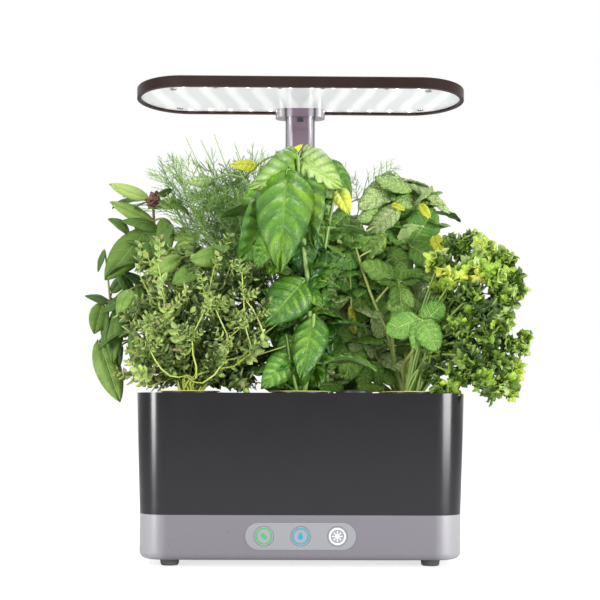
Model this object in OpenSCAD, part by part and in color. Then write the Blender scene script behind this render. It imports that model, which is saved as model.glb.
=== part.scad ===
// Countertop hydroponic garden: a water bowl on a lit base, a planting deck with six pods,
// and a grow light on a telescoping mast. +Z is up, -Y is the front, and the origin is on the
// counter under the middle of the base. Millimetres.

/* [Base] */
// Width of the base and of the bowl's foot
base_w = 237.5; // [200:0.5:300]
// Depth of the base and of the bowl's foot
base_d = 148; // [130:0.5:190]
// Corner radius of the base in plan
corner_r = 20; // [14:0.5:30]
// Height of the base above its feet
base_h = 32.9; // [31:0.1:45]
// Wall of the base housing
base_wall = 2.4; // [2:0.1:3.2]
// Radius of the rounded bottom edge
bottom_fillet = 5; // [2:0.5:6]
// Thickness of the plate that closes the base
cover_t = 2.6; // [2:0.1:3.5]
// Height of the rubber feet under the base
foot_h = 5.8; // [3:0.1:9]
// Diameter of a rubber foot
foot_d = 15; // [10:0.5:20]

/* [Control panel] */
// Width of the pill-shaped panel
panel_w = 80.4; // [74:0.1:100]
// Height of the panel
panel_h = 19.6; // [18:0.1:22]
// Height of the panel's middle above the base's underside
panel_rise = 17.8; // [15:0.1:20]
// Thickness of the panel
panel_t = 1.2; // [1:0.1:1.6]
// Distance between two buttons
button_pitch = 26.6; // [22:0.1:28]
// Diameter of a button
button_d = 14; // [11:0.1:15.5]
// Travel of a button
button_travel = 0.7; // [0.4:0.1:1]

/* [Bowl] */
// Height of the water bowl
bowl_h = 88.6; // [75:0.1:120]
// How far each side of the bowl leans out from foot to rim
bowl_flare = 2.4; // [1:0.1:4]
// Wall of the bowl
bowl_wall = 3.6; // [3:0.1:5]
// Wall of the bowl above the ledge that carries the deck
rim_wall = 2; // [1.5:0.1:2.4]
// Depth of that ledge below the rim
ledge_drop = 4.3; // [3.5:0.1:8]

/* [Planting deck] */
// Distance between pods across the width
pod_pitch_x = 84; // [70:0.5:86]
// Distance from the front of the base to the front row of pods
front_row_in = 36; // [32:0.5:40]
// Room between the back row of pods and the mast's channel
back_row_gap = 2.85; // [1:0.05:6]
// Diameter of a pod's basket under its flange
basket_d = 37; // [30:0.5:40]
// Height of a basket
basket_h = 48; // [40:1:60]
// Diameter of a pod's paper label
label_d = 46; // [44:0.5:48]
// Height of the collar round each pod above the bowl's rim
collar_rise = 0.2; // [0:0.1:6]

/* [Mast and light] */
// Width of the mast
mast_w = 25; // [20:0.5:27]
// Depth of the mast
mast_d = 12.5; // [11.5:0.1:13.5]
// Wall of the mast tube
mast_wall = 1.6; // [1.2:0.1:1.8]
// Distance from the back of the base to the mast's middle
mast_in = 16.8; // [16:0.1:18]
// Height of the top of the fixed sleeve
sleeve_top = 300; // [220:1:310]
// How far the light can be raised
mast_travel = 62; // [30:1:80]
// Height of the underside of the light when it is lowest
hood_z = 368.1; // [345:0.1:420]
// Width of the light
hood_w = 267; // [240:1:300]
// Depth of the light
hood_d = 81.4; // [78:0.1:90]
// Height of the light's side wall with its cover
hood_h = 8.7; // [8.7:0.1:12]
// How far the light's middle stands in front of the mast's middle
hood_ahead = 33.2; // [32.7:0.1:35.2]
// Width of the rim seen round the reflector
hood_rim = 3.2; // [2.8:0.1:4.5]
// LEDs in each row
leds_per_row = 12; // [8:2:14]
// Distance between two LEDs
led_pitch = 16.9; // [14:0.1:18]
// Distance between the two rows of LEDs
led_rows = 66; // [60:0.5:67]

/* [Hidden] */
fit = 0.3;          // running clearance between pieces that move
seat = 0.1;         // clearance between pieces that are put together for good
eps = 0.01;
$fn = 64;

base_z = foot_h;                          // underside of the base housing
floor_z = base_z + base_wall;             // floor inside the base
seam_z = base_z + base_h;                 // where the bowl stands on the base
rim_z = seam_z + bowl_h;                  // rim of the bowl
ledge_z = rim_z - ledge_drop;
panel_z = base_z + panel_rise;
front_y = -base_d / 2;
mast_y = base_d / 2 - mast_in;            // middle of the mast
hood_y = mast_y - hood_ahead;             // middle of the light

sleeve_wall = 2;
bush_wall = 0.8;
sleeve_in_w = mast_w + 2 * (fit + bush_wall);
sleeve_in_d = mast_d + 2 * (fit + bush_wall);
sleeve_w = sleeve_in_w + 2 * sleeve_wall;
sleeve_d = sleeve_in_d + 2 * sleeve_wall;
sleeve_gap = 1.2;                         // between the mast's sleeve and the bowl
channel_w = sleeve_w + 2 * sleeve_gap;    // room for the sleeve in the bowl's back
channel_front = mast_y - sleeve_d / 2 - sleeve_gap;
channel_wall = 2.4;
deck_gap = 0.4;

// Pods: left to right in the front row, then in the back row
collar_wall = 2.5;
collar_d = basket_d + 2 * collar_wall;
collar_z = rim_z + collar_rise;
pod_front_y = front_y + front_row_in;
pod_back_y = channel_front - channel_wall - deck_gap - collar_d / 2 - back_row_gap;
pods = [for (y = [pod_front_y, pod_back_y]) for (k = [-1, 0, 1]) [k * pod_pitch_x, y]];

// ---- Shapes that repeat ----

// Plan of a rounded rectangle whose edge follows a profile, drawn from the corner's axis outward
module edge_swept(w, d, r, z0, z1) {
    cx = w / 2 - r;
    cy = d / 2 - r;
    for (x = [-cx, cx], y = [-cy, cy]) translate([x, y]) rotate_extrude() children();
    if (cx > 0) rotate([90, 0, 90]) linear_extrude(2 * cx, center = true) {
        for (m = [0, 1]) mirror([m, 0]) translate([cy, 0]) children();
        if (cy > 0) translate([-cy, z0]) square([2 * cy, z1 - z0]);
    }
    if (cy > 0) rotate([90, 0, 0]) linear_extrude(2 * cy, center = true) {
        for (m = [0, 1]) mirror([m, 0]) translate([cx, 0]) children();
        translate([-cx, z0]) square([2 * cx, z1 - z0]);
    }
}

// Profile of a side that leans out, with its radius at z0 and at z1
module leaning_side(r0, r1, z0, z1) {
    polygon([[0, z0], [r0, z0], [r1, z1], [0, z1]]);
}

// Profile of an upright side with a rounded edge at the bottom
module rounded_foot_side(r, z0, z1, fillet) {
    translate([0, z0]) square([r - fillet, z1 - z0]);
    translate([0, z0 + fillet]) square([r, z1 - z0 - fillet]);
    translate([r - fillet, z0 + fillet]) circle(fillet);
}

// Profile of an upright side with a rounded edge at the top
module rounded_top_side(r, z0, z1, fillet) {
    translate([0, z0]) square([r - fillet, z1 - z0]);
    translate([0, z0]) square([r, z1 - z0 - fillet]);
    translate([r - fillet, z1 - fillet]) circle(fillet);
}

// Upright box with round corners
module plate(w, d, r, h) {
    linear_extrude(h) {
        square([w - 2 * r, d], center = true);
        square([w, d - 2 * r], center = true);
        for (x = [-1, 1], y = [-1, 1]) translate([x * (w / 2 - r), y * (d / 2 - r)]) circle(r);
    }
}

// Upright bar with round ends
module slot_bar(w, d, h) {
    linear_extrude(h) {
        square([w - d, d], center = true);
        for (x = [-1, 1]) translate([x * (w - d) / 2, 0]) circle(d = d);
    }
}

// Tube with round ends
module slot_tube(w, d, wall, h) {
    difference() {
        slot_bar(w, d, h);
        translate([0, 0, -1]) slot_bar(w - 2 * wall, d - 2 * wall, h + 2);
    }
}

module ring(d, bore, h) {
    difference() {
        cylinder(d = d, h = h);
        translate([0, 0, -1]) cylinder(d = bore, h = h + 2);
    }
}

// Screw with its head down at z = 0 and its shank up
module screw(head_d, head_h, shank_d, shank_h) {
    cylinder(d = head_d, h = head_h);
    translate([0, 0, head_h]) cylinder(d = shank_d, h = shank_h);
}

// ---- Base ----

screw_d = 2.6;
boss_d = 8;
boss_x = base_w / 2 - corner_r;
boss_y = base_d / 2 - corner_r + 4;
cover_z = seam_z - cover_t;               // underside of the base's cover
inner_r = corner_r - base_wall;           // corner radius inside the base
sleeve_plate_t = 3;
sleeve_plate_w = 56;
sleeve_plate_d = 24;
sleeve_screw_x = 23;
foot_x = base_w / 2 - corner_r - 2;
foot_y = base_d / 2 - corner_r - 2;
foot_plug_d = 6;
board_w = 96;
board_t = 1.6;
board_y = front_y + 12;                   // front face of the control board
board_post_x = 43;
board_h = 22;
board_screw_d = 2.2;
button_hole_d = button_d + 2 * fit;
button_flange_d = button_d + 2.6;
button_flange_t = 1.2;
recess = 0.8;                             // depth of the panel's seat in the wall
panel_front = front_y - (panel_t - recess);
flange_front = front_y + recess + 0.15;
jack_x = -62;
jack_z = base_z + 15;
jack_w = 10;
jack_depth = 14;
jack_h = 11;
jack_bore_d = 6.4;
jack_bore_l = 9.5;
jack_nose_d = 8.4;
jack_pin_d = 2.1;
pump_x = pod_pitch_x / 2;
pump_y = pod_back_y - 8;
contact_gap = 8;
contact_d = 3;
float_x = -pod_pitch_x / 2;
float_y = pod_front_y + 8;

module along_y(x, y, z) { translate([x, y, z]) rotate([-90, 0, 0]) children(); }

module pill(w, h, t) { rotate([90, 0, 0]) translate([0, 0, -t]) slot_bar(w, h, t); }

module base_housing() color("#a9a4aa") difference() {
    union() {
        difference() {
            edge_swept(base_w, base_d, corner_r, base_z, seam_z)
                rounded_foot_side(corner_r, base_z, seam_z, bottom_fillet);
            translate([0, 0, floor_z])
                plate(base_w - 2 * base_wall, base_d - 2 * base_wall, inner_r, base_h);
        }
        for (x = [-boss_x, boss_x], y = [-boss_y, boss_y]) translate([x, y, floor_z - 1])
            cylinder(d = boss_d, h = cover_z - floor_z + 1);
        for (x = [-board_post_x, board_post_x])
            along_y(x, front_y + base_wall - 1, panel_z) cylinder(d = 6, h = board_y - front_y - base_wall + 1);
        for (x = [-sleeve_screw_x, sleeve_screw_x]) translate([x, mast_y, floor_z - 1])
            cylinder(d = 7, h = 3);
    }
    for (x = [-boss_x, boss_x], y = [-boss_y, boss_y]) translate([x, y, cover_z - 12])
        cylinder(d = screw_d + seat, h = 20);
    for (x = [-board_post_x, board_post_x])
        along_y(x, board_y - 7, panel_z) cylinder(d = board_screw_d + seat, h = 20);
    for (x = [-sleeve_screw_x, sleeve_screw_x]) translate([x, mast_y, base_z + 0.8])
        cylinder(d = screw_d + seat, h = 10);
    for (x = [-foot_x, foot_x], y = [-foot_y, foot_y]) translate([x, y, base_z - 1])
        cylinder(d = foot_plug_d + 2 * seat, h = base_wall + 2);
    along_y(0, front_y - 1, panel_z) slot_bar(panel_w + 2 * seat, panel_h + 2 * seat, recess + 1);
    for (k = [-1, 0, 1]) along_y(k * button_pitch, front_y - 1, panel_z)
        cylinder(d = button_flange_d + 2 * fit, h = base_wall + 3);
    along_y(jack_x, -front_y - base_wall - 1, jack_z) cylinder(d = jack_nose_d + 2 * seat, h = base_wall + 2);
}

module base_cover() color("#3b3b3e") difference() {
    translate([0, 0, cover_z])
        plate(base_w - 2 * (base_wall + seat), base_d - 2 * (base_wall + seat), inner_r - seat, cover_t);
    translate([0, mast_y, cover_z - 1]) slot_bar(sleeve_w + 2 * seat, sleeve_d + 2 * seat, cover_t + 2);
    for (x = [-boss_x, boss_x], y = [-boss_y, boss_y]) translate([x, y, cover_z - 1]) {
        cylinder(d = screw_d + 2 * seat, h = cover_t + 2);
        translate([0, 0, cover_t - 0.8]) cylinder(d = 6, h = 4);
    }
    for (x = [-0.5, 0.5]) translate([pump_x + x * contact_gap, pump_y, cover_z - 1])
        cylinder(d = contact_d + 2 * seat, h = cover_t + 2);
}

module cover_screws() color("silver")
    for (x = [-boss_x, boss_x], y = [-boss_y, boss_y]) translate([x, y, seam_z - 0.2])
        mirror([0, 0, 1]) difference() {
            screw(5.4, 1.6, screw_d, 9);
            translate([0, 0, -1]) cylinder(d = 2.4, h = 1.8, $fn = 6);
        }

module rubber_feet() color("#3a3838")
    for (x = [-foot_x, foot_x], y = [-foot_y, foot_y]) translate([x, y]) {
        rotate_extrude() polygon([[0, 0], [foot_d / 2 - 1.4, 0], [foot_d / 2 - 0.8, 1],
            [foot_d / 2, foot_h], [0, foot_h]]);
        translate([0, 0, foot_h - 1]) cylinder(d = foot_plug_d, h = base_wall + 1.4);
    }

module control_panel() color("#bcb9bd") difference() {
    translate([0, panel_front, panel_z]) pill(panel_w, panel_h, panel_t);
    for (k = [-1, 0, 1]) along_y(k * button_pitch, panel_front - 1, panel_z)
        cylinder(d = button_hole_d, h = panel_t + 2);
}

module control_board() color("#2f6b46") difference() {
    translate([-board_w / 2, board_y, panel_z - board_h / 2]) cube([board_w, board_t, board_h]);
    for (x = [-board_post_x, board_post_x]) along_y(x, board_y - 1, panel_z)
        cylinder(d = board_screw_d + 2 * seat, h = board_t + 2);
}

module board_screws() color("silver")
    for (x = [-board_post_x, board_post_x]) translate([x, board_y + board_t + 1.6, panel_z])
        rotate([90, 0, 0]) screw(4.4, 1.6, board_screw_d, board_t + 5.5);

switch_w = 6;
switch_t = 3.6;
stem_d = 3.2;
stem_in = 0.6;                            // how far a button's stem reaches into its switch
module tact_switches() color("#2b2b2e")
    for (k = [-1, 0, 1]) difference() {
        translate([k * button_pitch - switch_w / 2, board_y - switch_t, panel_z - switch_w / 2])
            cube([switch_w, switch_t, switch_w]);
        along_y(k * button_pitch, board_y - switch_t - 1, panel_z) cylinder(d = stem_d + 2 * fit, h = 3.4);
    }

module dc_jack() color("#1c1c1e") difference() {
    union() {
        translate([jack_x - jack_w / 2, -front_y - base_wall - jack_depth, jack_z - jack_h / 2])
            cube([jack_w, jack_depth, jack_h]);
        along_y(jack_x, -front_y - base_wall - 1, jack_z) cylinder(d = jack_nose_d, h = base_wall + 1);
        translate([jack_x - jack_w / 2, -front_y - base_wall - jack_depth, floor_z])
            cube([jack_w, jack_depth, jack_z - floor_z]);
    }
    along_y(jack_x, -front_y - jack_bore_l, jack_z) cylinder(d = jack_bore_d, h = jack_bore_l + 1);
    along_y(jack_x, -front_y - jack_bore_l - 3, jack_z) cylinder(d = jack_pin_d + seat, h = 5);
}

module jack_pin() color("gold")
    along_y(jack_x, -front_y - jack_bore_l - 2.5, jack_z) {
        cylinder(d = jack_pin_d, h = jack_bore_l + 1.2);
        translate([0, 0, jack_bore_l + 1.2]) cylinder(d1 = jack_pin_d, d2 = 1.2, h = 0.5);
    }

module level_switch() color("#2b2b2e")
    translate([float_x - 9, float_y - 3, cover_z - 4]) cube([18, 6, 4]);

module pump_contacts() color("gold")
    for (x = [-0.5, 0.5]) translate([pump_x + x * contact_gap, pump_y, cover_z - 2]) {
        cylinder(d = contact_d, h = cover_t + 2);
        cylinder(d = contact_d + 2, h = 2);
    }

module mast_sleeve() color("#8a8690") translate([0, mast_y]) {
    difference() {
        union() {
            translate([0, 0, floor_z + 2]) slot_bar(sleeve_w, sleeve_d, sleeve_top - floor_z - 2);
            translate([0, 0, floor_z + 2]) slot_bar(sleeve_plate_w, sleeve_plate_d, sleeve_plate_t);
        }
        translate([0, 0, floor_z + 2 + sleeve_plate_t]) slot_bar(sleeve_in_w, sleeve_in_d, sleeve_top);
        for (x = [-sleeve_screw_x, sleeve_screw_x]) translate([x, 0, floor_z])
            cylinder(d = screw_d + 2 * seat, h = 10);
    }
}

module sleeve_screws() color("silver")
    for (x = [-sleeve_screw_x, sleeve_screw_x])
        translate([x, mast_y, floor_z + 2 + sleeve_plate_t + 1.6]) mirror([0, 0, 1])
            screw(5.4, 1.6, screw_d, sleeve_plate_t + 2.8);

bush_h = 14;
module mast_bush() color("#2b2b2e") translate([0, mast_y, sleeve_top - bush_h]) {
    slot_tube(sleeve_in_w - 2 * seat, sleeve_in_d - 2 * seat, bush_wall - seat, bush_h + 1);
    translate([0, 0, bush_h]) slot_tube(sleeve_w, sleeve_d, sleeve_wall + bush_wall, 1.6);
}

// ---- Buttons ----

module button(k) along_y(k * button_pitch, panel_front - 0.2, panel_z) {
    cap_l = flange_front - panel_front + 0.2;
    stem_l = board_y - switch_t + stem_in - flange_front - button_flange_t;
    cylinder(d = button_d, h = cap_l);
    translate([0, 0, cap_l]) cylinder(d = button_flange_d, h = button_flange_t);
    translate([0, 0, cap_l + button_flange_t]) cylinder(d = stem_d, h = stem_l);
}
module plant_food_button() color("#c4c1c5") button(-1);
module water_button() color("#c4c1c5") button(0);
module light_button() color("#c4c1c5") button(1);

icon_t = 0.25;                            // how far an icon and its ring stand out of the button
ring_d = 12;
ring_line = 0.9;
module icon_place(k) along_y(k * button_pitch, panel_front - 0.2 - icon_t, panel_z) linear_extrude(icon_t) {
    difference() {
        circle(d = ring_d);
        circle(d = ring_d - 2 * ring_line);
    }
    children();
}
module leaf_icon() color("#3fae6a") icon_place(-1) {
    intersection() {
        translate([-1.5, 1.5]) circle(3.6);
        translate([1.5, -1.5]) circle(3.6);
    }
}
module drop_icon() color("#2aa7c9") icon_place(0) {
    translate([0, 0.7]) circle(1.7);
    polygon([[-1.6, 0.2], [0, -3.2], [1.6, 0.2]]);
}
module sun_icon() color("white") icon_place(1) {
    circle(1.5);
    for (a = [0:45:315]) rotate(a) translate([2.2, -0.3]) square([1.4, 0.6]);
}

// ---- Mast and light ----

foot_block_h = 22;
mast_bottom = floor_z + 2 + sleeve_plate_t;        // where the mast stands when it is lowest
flange_w = 42;
flange_d = 15;
lip_t = 1.9;                                        // thickness of the rim under the reflector
panel_sheet = 1;
board_sheet = 1;
spreader_t = 0.8;
hood_wall = 2.2;
cover_edge = 2.4;                                   // height of the top cover at its edge
reflector_z = hood_z + lip_t;                       // underside of the reflector
boards_z = reflector_z + panel_sheet;
spreader_z = boards_z + board_sheet;
top_z = hood_z + hood_h - cover_edge;               // where the top cover starts
flange_z = reflector_z - 7.2;
lead_d = 4;
led_s = 3;
led_hole = 3.8;
bracket_t = 1.2;

module mast_tube() color("#857c8c") translate([0, mast_y, mast_bottom + 4])
    slot_tube(mast_w, mast_d, mast_wall, reflector_z - mast_bottom - 4);

module mast_foot() color("#2b2b2e") translate([0, mast_y, mast_bottom]) difference() {
    union() {
        slot_bar(sleeve_in_w - 2 * fit, sleeve_in_d - 2 * fit, 4);
        slot_bar(mast_w - 2 * (mast_wall + seat), mast_d - 2 * (mast_wall + seat), foot_block_h);
    }
    translate([0, 0, -1]) cylinder(d = lead_d + 2 * seat, h = foot_block_h + 2);
}

module mast_flange() color("#6f6a74") translate([0, mast_y, flange_z]) difference() {
    slot_bar(flange_w, flange_d, reflector_z - flange_z);
    translate([0, 0, -1]) slot_bar(mast_w + 2 * seat, mast_d + 2 * seat, 20);
    for (x = [-1, 1]) translate([x * flange_screw_x, 0, 1.2]) cylinder(d = screw_d + seat, h = 20);
}
flange_screw_x = 17;

module mast_latch() color("#39363c")
    translate([-2.6, mast_y - mast_d / 2 - 1.4, flange_z - 4]) difference() {
        cube([5.2, 1.4, 4]);
        translate([1, -1, 1]) cube([3.2, 1.6, 0.8]);
    }

module flange_screws() color("silver") for (x = [-1, 1])
    translate([x * flange_screw_x, mast_y, boards_z + bracket_t + 1.3]) mirror([0, 0, 1])
        screw(5, 1.3, screw_d, bracket_t + panel_sheet + 5);

module lamp_lead() color("#1c1c1e") translate([0, mast_y, mast_bottom])
    cylinder(d = lead_d, h = boards_z + bracket_t - mast_bottom);

module hood_housing() color("#232225") difference() {
    translate([0, hood_y, hood_z]) difference() {
        slot_bar(hood_w, hood_d, top_z - hood_z);
        translate([0, 0, lip_t]) slot_bar(hood_w - 2 * hood_wall, hood_d - 2 * hood_wall, 40);
        translate([0, 0, -1]) slot_bar(hood_w - 2 * hood_rim, hood_d - 2 * hood_rim, 40);
    }
    translate([0, mast_y, hood_z - 1]) slot_bar(flange_w + 2 * seat, flange_d + 2 * seat, lip_t + 1);
}

plateau_in = 12;
plateau_h = 2.2;
vent_pitch = 14;
vent_w = 6;
vent_l = 16;
module hood_top_cover() color("#1d1c1f") translate([0, hood_y]) difference() {
    union() {
        edge_swept(hood_w, hood_d, hood_d / 2, top_z, top_z + cover_edge)
            rounded_top_side(hood_d / 2, top_z, top_z + cover_edge, cover_edge / 2);
        translate([0, 0, top_z + 1]) slot_bar(hood_w - 2 * plateau_in, hood_d - 2 * plateau_in, cover_edge - 1 + plateau_h);
    }
    translate([0, 0, top_z - 1])
        slot_bar(hood_w - 2 * plateau_in - 4, hood_d - 2 * plateau_in - 4, cover_edge + plateau_h - 0.8);
    for (k = [-5:5]) translate([k * vent_pitch - vent_w / 2, -vent_l / 2, top_z]) cube([vent_w, vent_l, 20]);
}

function screw_places() = concat(
    [for (x = [-1, 1], y = [-1, 1]) [x * 6 * led_pitch, hood_y + y * 0.41 * led_rows, 5]],
    [for (k = [-4, -1, 1, 4]) [k * led_pitch, hood_y - led_rows / 2, 3.4]]);

module reflector_panel() color("#ecedee") difference() {
    translate([0, hood_y, reflector_z])
        slot_bar(hood_w - 2 * (hood_wall + seat), hood_d - 2 * (hood_wall + seat), panel_sheet);
    led_places() translate([-led_hole / 2, -led_hole / 2, -2]) cube([led_hole, led_hole, 4]);
    for (s = screw_places()) translate([s[0], s[1], reflector_z - 1]) cylinder(d = screw_d, h = 4);
    for (x = [-1, 1]) translate([x * flange_screw_x, mast_y, reflector_z - 1]) cylinder(d = screw_d + 2 * seat, h = 4);
    translate([0, mast_y, reflector_z - 1]) cylinder(d = lead_d + 2 * seat, h = 4);
}

half_row = leds_per_row / 2;
// The back row leaves out the LEDs over the mast's flange
module led_places() for (k = [0:leds_per_row - 1], row = [-1, 1]) {
    x = (k - half_row + 0.5) * led_pitch;
    if (row < 0 || abs(x) > flange_w / 2 + 3)
        translate([x, hood_y + row * led_rows / 2, reflector_z]) children();
}

board_d = 8;
board_l = leds_per_row * led_pitch + 4;
module led_boards() color("#e8e8e4") {
    difference() {
        translate([-board_l / 2, hood_y - led_rows / 2 - board_d / 2, boards_z]) cube([board_l, board_d, board_sheet]);
        for (s = screw_places()) translate([s[0], s[1], boards_z - 1]) cylinder(d = screw_d, h = 4);
    }
    for (m = [0, 1]) mirror([m, 0]) difference() {
        translate([flange_w / 2 + 1, hood_y + led_rows / 2 - board_d / 2, boards_z])
            cube([board_l / 2 - flange_w / 2 - 1, board_d, board_sheet]);
        for (s = screw_places()) translate([s[0], s[1], boards_z - 1]) cylinder(d = screw_d, h = 4);
    }
}

module grow_leds() color("#fff4f0") led_places() {
    translate([-led_s / 2, -led_s / 2, -0.2]) cube([led_s, led_s, panel_sheet + 0.2]);
    translate([0, 0, -0.2]) mirror([0, 0, 1]) cylinder(d1 = 2.4, d2 = 1.4, h = 0.5);
}

module heat_spreader() color("silver") difference() {
    translate([0, hood_y, spreader_z])
        slot_bar(hood_w - 2 * hood_wall - 8, hood_d - 2 * hood_wall - 2 * seat, spreader_t);
    translate([-flange_w / 2 - 1, mast_y - flange_d / 2 - 1, spreader_z - 1]) cube([flange_w + 2, 40, 4]);
    for (s = screw_places()) translate([s[0], s[1], spreader_z - 1]) cylinder(d = screw_d + 2 * seat, h = 4);
}

module hood_bracket() color("#9a9a9e") difference() {
    translate([-flange_w / 2, mast_y - flange_d / 2, boards_z])
        cube([flange_w, hood_y + hood_d / 2 - hood_wall - seat - mast_y + flange_d / 2, bracket_t]);
    for (x = [-1, 1]) translate([x * flange_screw_x, mast_y, boards_z - 1]) cylinder(d = screw_d + 2 * seat, h = 4);
    translate([0, mast_y, boards_z - 1]) cylinder(d = lead_d + 2 * seat, h = 4);
}

module panel_screws() color("silver") for (s = screw_places())
    translate([s[0], s[1], reflector_z - 1]) difference() {
        screw(s[2], 1, screw_d - seat, panel_sheet + board_sheet + spreader_t);
        translate([0, 0, -1]) cube([s[2] - 1.4, 0.8, 2.8], center = true);
    }

// ---- Bowl ----

bowl_floor = 3;
function flare_at(z) = bowl_flare * (z - seam_z) / bowl_h;

module bowl_shape(inset, z0, z1) {
    // a slice of the bowl's leaning outline, drawn in by inset
    grow = flare_at(z0);
    r0 = corner_r - inset + grow;
    edge_swept(base_w - 2 * inset + 2 * grow, base_d - 2 * inset + 2 * grow, r0, z0, z1)
        leaning_side(r0, r0 + flare_at(z1) - grow, z0, z1);
}

module bowl() color("#46464a") difference() {
    union() {
        difference() {
            bowl_shape(0, seam_z, rim_z);
            bowl_shape(bowl_wall, seam_z + bowl_floor, ledge_z);
            bowl_shape(rim_wall, ledge_z, rim_z + 1);
        }
        translate([-channel_w / 2 - channel_wall, channel_front - channel_wall, seam_z + 1])
            cube([channel_w + 2 * channel_wall, base_d / 2 - channel_front + channel_wall - 2, rim_z - seam_z - 1]);
    }
    translate([-channel_w / 2, channel_front, seam_z - 1]) cube([channel_w, 60, bowl_h + 2]);
}

inside_z = seam_z + bowl_floor;           // the tank's floor
pump_d = 30;
pump_wall = 1.6;
pump_h = 16;
impeller_d = 22;
impeller_h = 6;
shaft_d = 2;
riser_d = 8;
module pump_housing() color("#d8d8dc") translate([pump_x, pump_y, inside_z]) difference() {
    cylinder(d = pump_d, h = pump_h);
    translate([0, 0, pump_wall]) cylinder(d = pump_d - 2 * pump_wall, h = pump_h);
    cylinder(d = shaft_d, h = 4);
}
module impeller_shaft() color("silver") translate([pump_x, pump_y, inside_z])
    cylinder(d = shaft_d - seat, h = pump_h);
module pump_cover() color("#c6c6cb") translate([pump_x, pump_y, inside_z + pump_h]) difference() {
    union() {
        cylinder(d = pump_d, h = 2);
        translate([0, 0, 2]) cylinder(d = riser_d + 4, h = 5);
    }
    translate([0, 0, 2.6]) cylinder(d = riser_d + 2 * seat, h = 6);
    translate([0, 0, 1.2]) cylinder(d = riser_d - 2.4, h = 6);
    for (a = [0:60:300]) rotate(a) translate([10.5, 0, -1]) cylinder(d = 4, h = 4);
    for (a = [30:120:330]) rotate(a) translate([2.2, 0, -1]) cylinder(d = 2, h = 4);
}
module pump_riser() color("#e6e6ea") translate([pump_x, pump_y, inside_z + pump_h + 2.6])
    ring(riser_d, riser_d - 2.4, ledge_z - 4 - inside_z - pump_h - 2.6);

module impeller() color("#4c78b8") translate([pump_x, pump_y, inside_z + pump_wall + 1]) difference() {
    union() {
        cylinder(d = 7, h = impeller_h + 2);
        cylinder(d = impeller_d, h = 1.4);
        for (a = [0:60:300]) rotate(a) translate([1, -0.6, 0]) cube([impeller_d / 2 - 1.3, 1.2, impeller_h]);
    }
    translate([0, 0, -1]) cylinder(d = shaft_d + 2 * fit, h = 20);
}

guide_d = 18;
guide_wall = 1.4;
float_d = guide_d - 2 * guide_wall - 2 * fit;
float_h = 10;
float_rise = 42;
module float_guide() color("#dadade") translate([float_x, float_y, inside_z]) difference() {
    cylinder(d = guide_d, h = float_h + float_rise + 4);
    translate([0, 0, 1]) cylinder(d = guide_d - 2 * guide_wall, h = float_h + float_rise + 1);
    cylinder(d = 6, h = 100);
    for (a = [0, 90]) rotate(a) translate([-20, -1.5, 3]) cube([40, 3, float_h + float_rise - 4]);
}
module water_float() color("#f2a23a") translate([float_x, float_y, inside_z + 1]) difference() {
    cylinder(d = float_d, h = float_h);
    translate([0, 0, -1]) cylinder(d = 8, h = 4);
}
module float_magnet() color("#777777") translate([float_x, float_y, inside_z + 1])
    cylinder(d = 8 - seat, h = 3);

// ---- Planting deck ----

deck_t = 2.4;
deck_z = rim_z - 0.6;                      // top of the deck's plate
basket_flange_t = 1.2;
port_x = pod_pitch_x / 2;
port_y = pod_front_y + 8;
port_d = 24;
hinge_d = 2;
knuckle_wall = 1;
hinge_z = deck_z + hinge_d / 2 + knuckle_wall + fit;   // the flap's pin, with its knuckle clear of the deck
lug_wall = 0.8;
flap_t = 1.6;
flap_z = deck_z + 1.4;
dome_r = 46.5;                             // the flap's domed top
dome_h = 1.2;
pin_y = port_y + port_d / 2 + 4;

module deck_slice(inset, z0, z1) bowl_shape(rim_wall + deck_gap + inset, z0, z1);

module grow_deck() color("#2c2c2f") difference() {
    union() {
        difference() {
            deck_slice(0, ledge_z, deck_z);
            deck_slice(2, ledge_z - 1, deck_z - deck_t);
        }
        for (p = pods) translate([p[0], p[1], deck_z - deck_t]) cylinder(d = collar_d, h = collar_z - deck_z + deck_t);
        translate([port_x, port_y, deck_z - deck_t]) cylinder(d = port_d + 3, h = deck_t + 1.2);
        translate([pump_x, pump_y, ledge_z - 8]) cylinder(d = riser_d + 5, h = deck_z - ledge_z + 7);
        for (x = [-1, 1]) translate([port_x + x * 9 - 1.5, pin_y - 2.2, deck_z - 1])
            cube([3, 4.4, hinge_z + hinge_d / 2 + lug_wall - deck_z + 1]);
    }
    for (p = pods) translate([p[0], p[1], ledge_z - 20]) cylinder(d = basket_d + 2 * seat, h = 60);
    translate([port_x, port_y, ledge_z - 20]) cylinder(d = port_d, h = 60);
    translate([pump_x, pump_y, ledge_z - 9]) cylinder(d = riser_d + 2 * fit, h = deck_z - ledge_z + 6);
    translate([-channel_w / 2 - channel_wall - deck_gap, channel_front - channel_wall - deck_gap, ledge_z - 20])
        cube([channel_w + 2 * (channel_wall + deck_gap), 60, 60]);
    translate([port_x - 20, pin_y, hinge_z]) rotate([0, 90, 0]) cylinder(d = hinge_d + seat, h = 40);
    for (x = [-1, 1]) translate([port_x + x * 9 - 1.5 + (x > 0 ? 3 : -20), pin_y - 5, deck_z + eps]) cube([20, 10, 10]);
}

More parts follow.
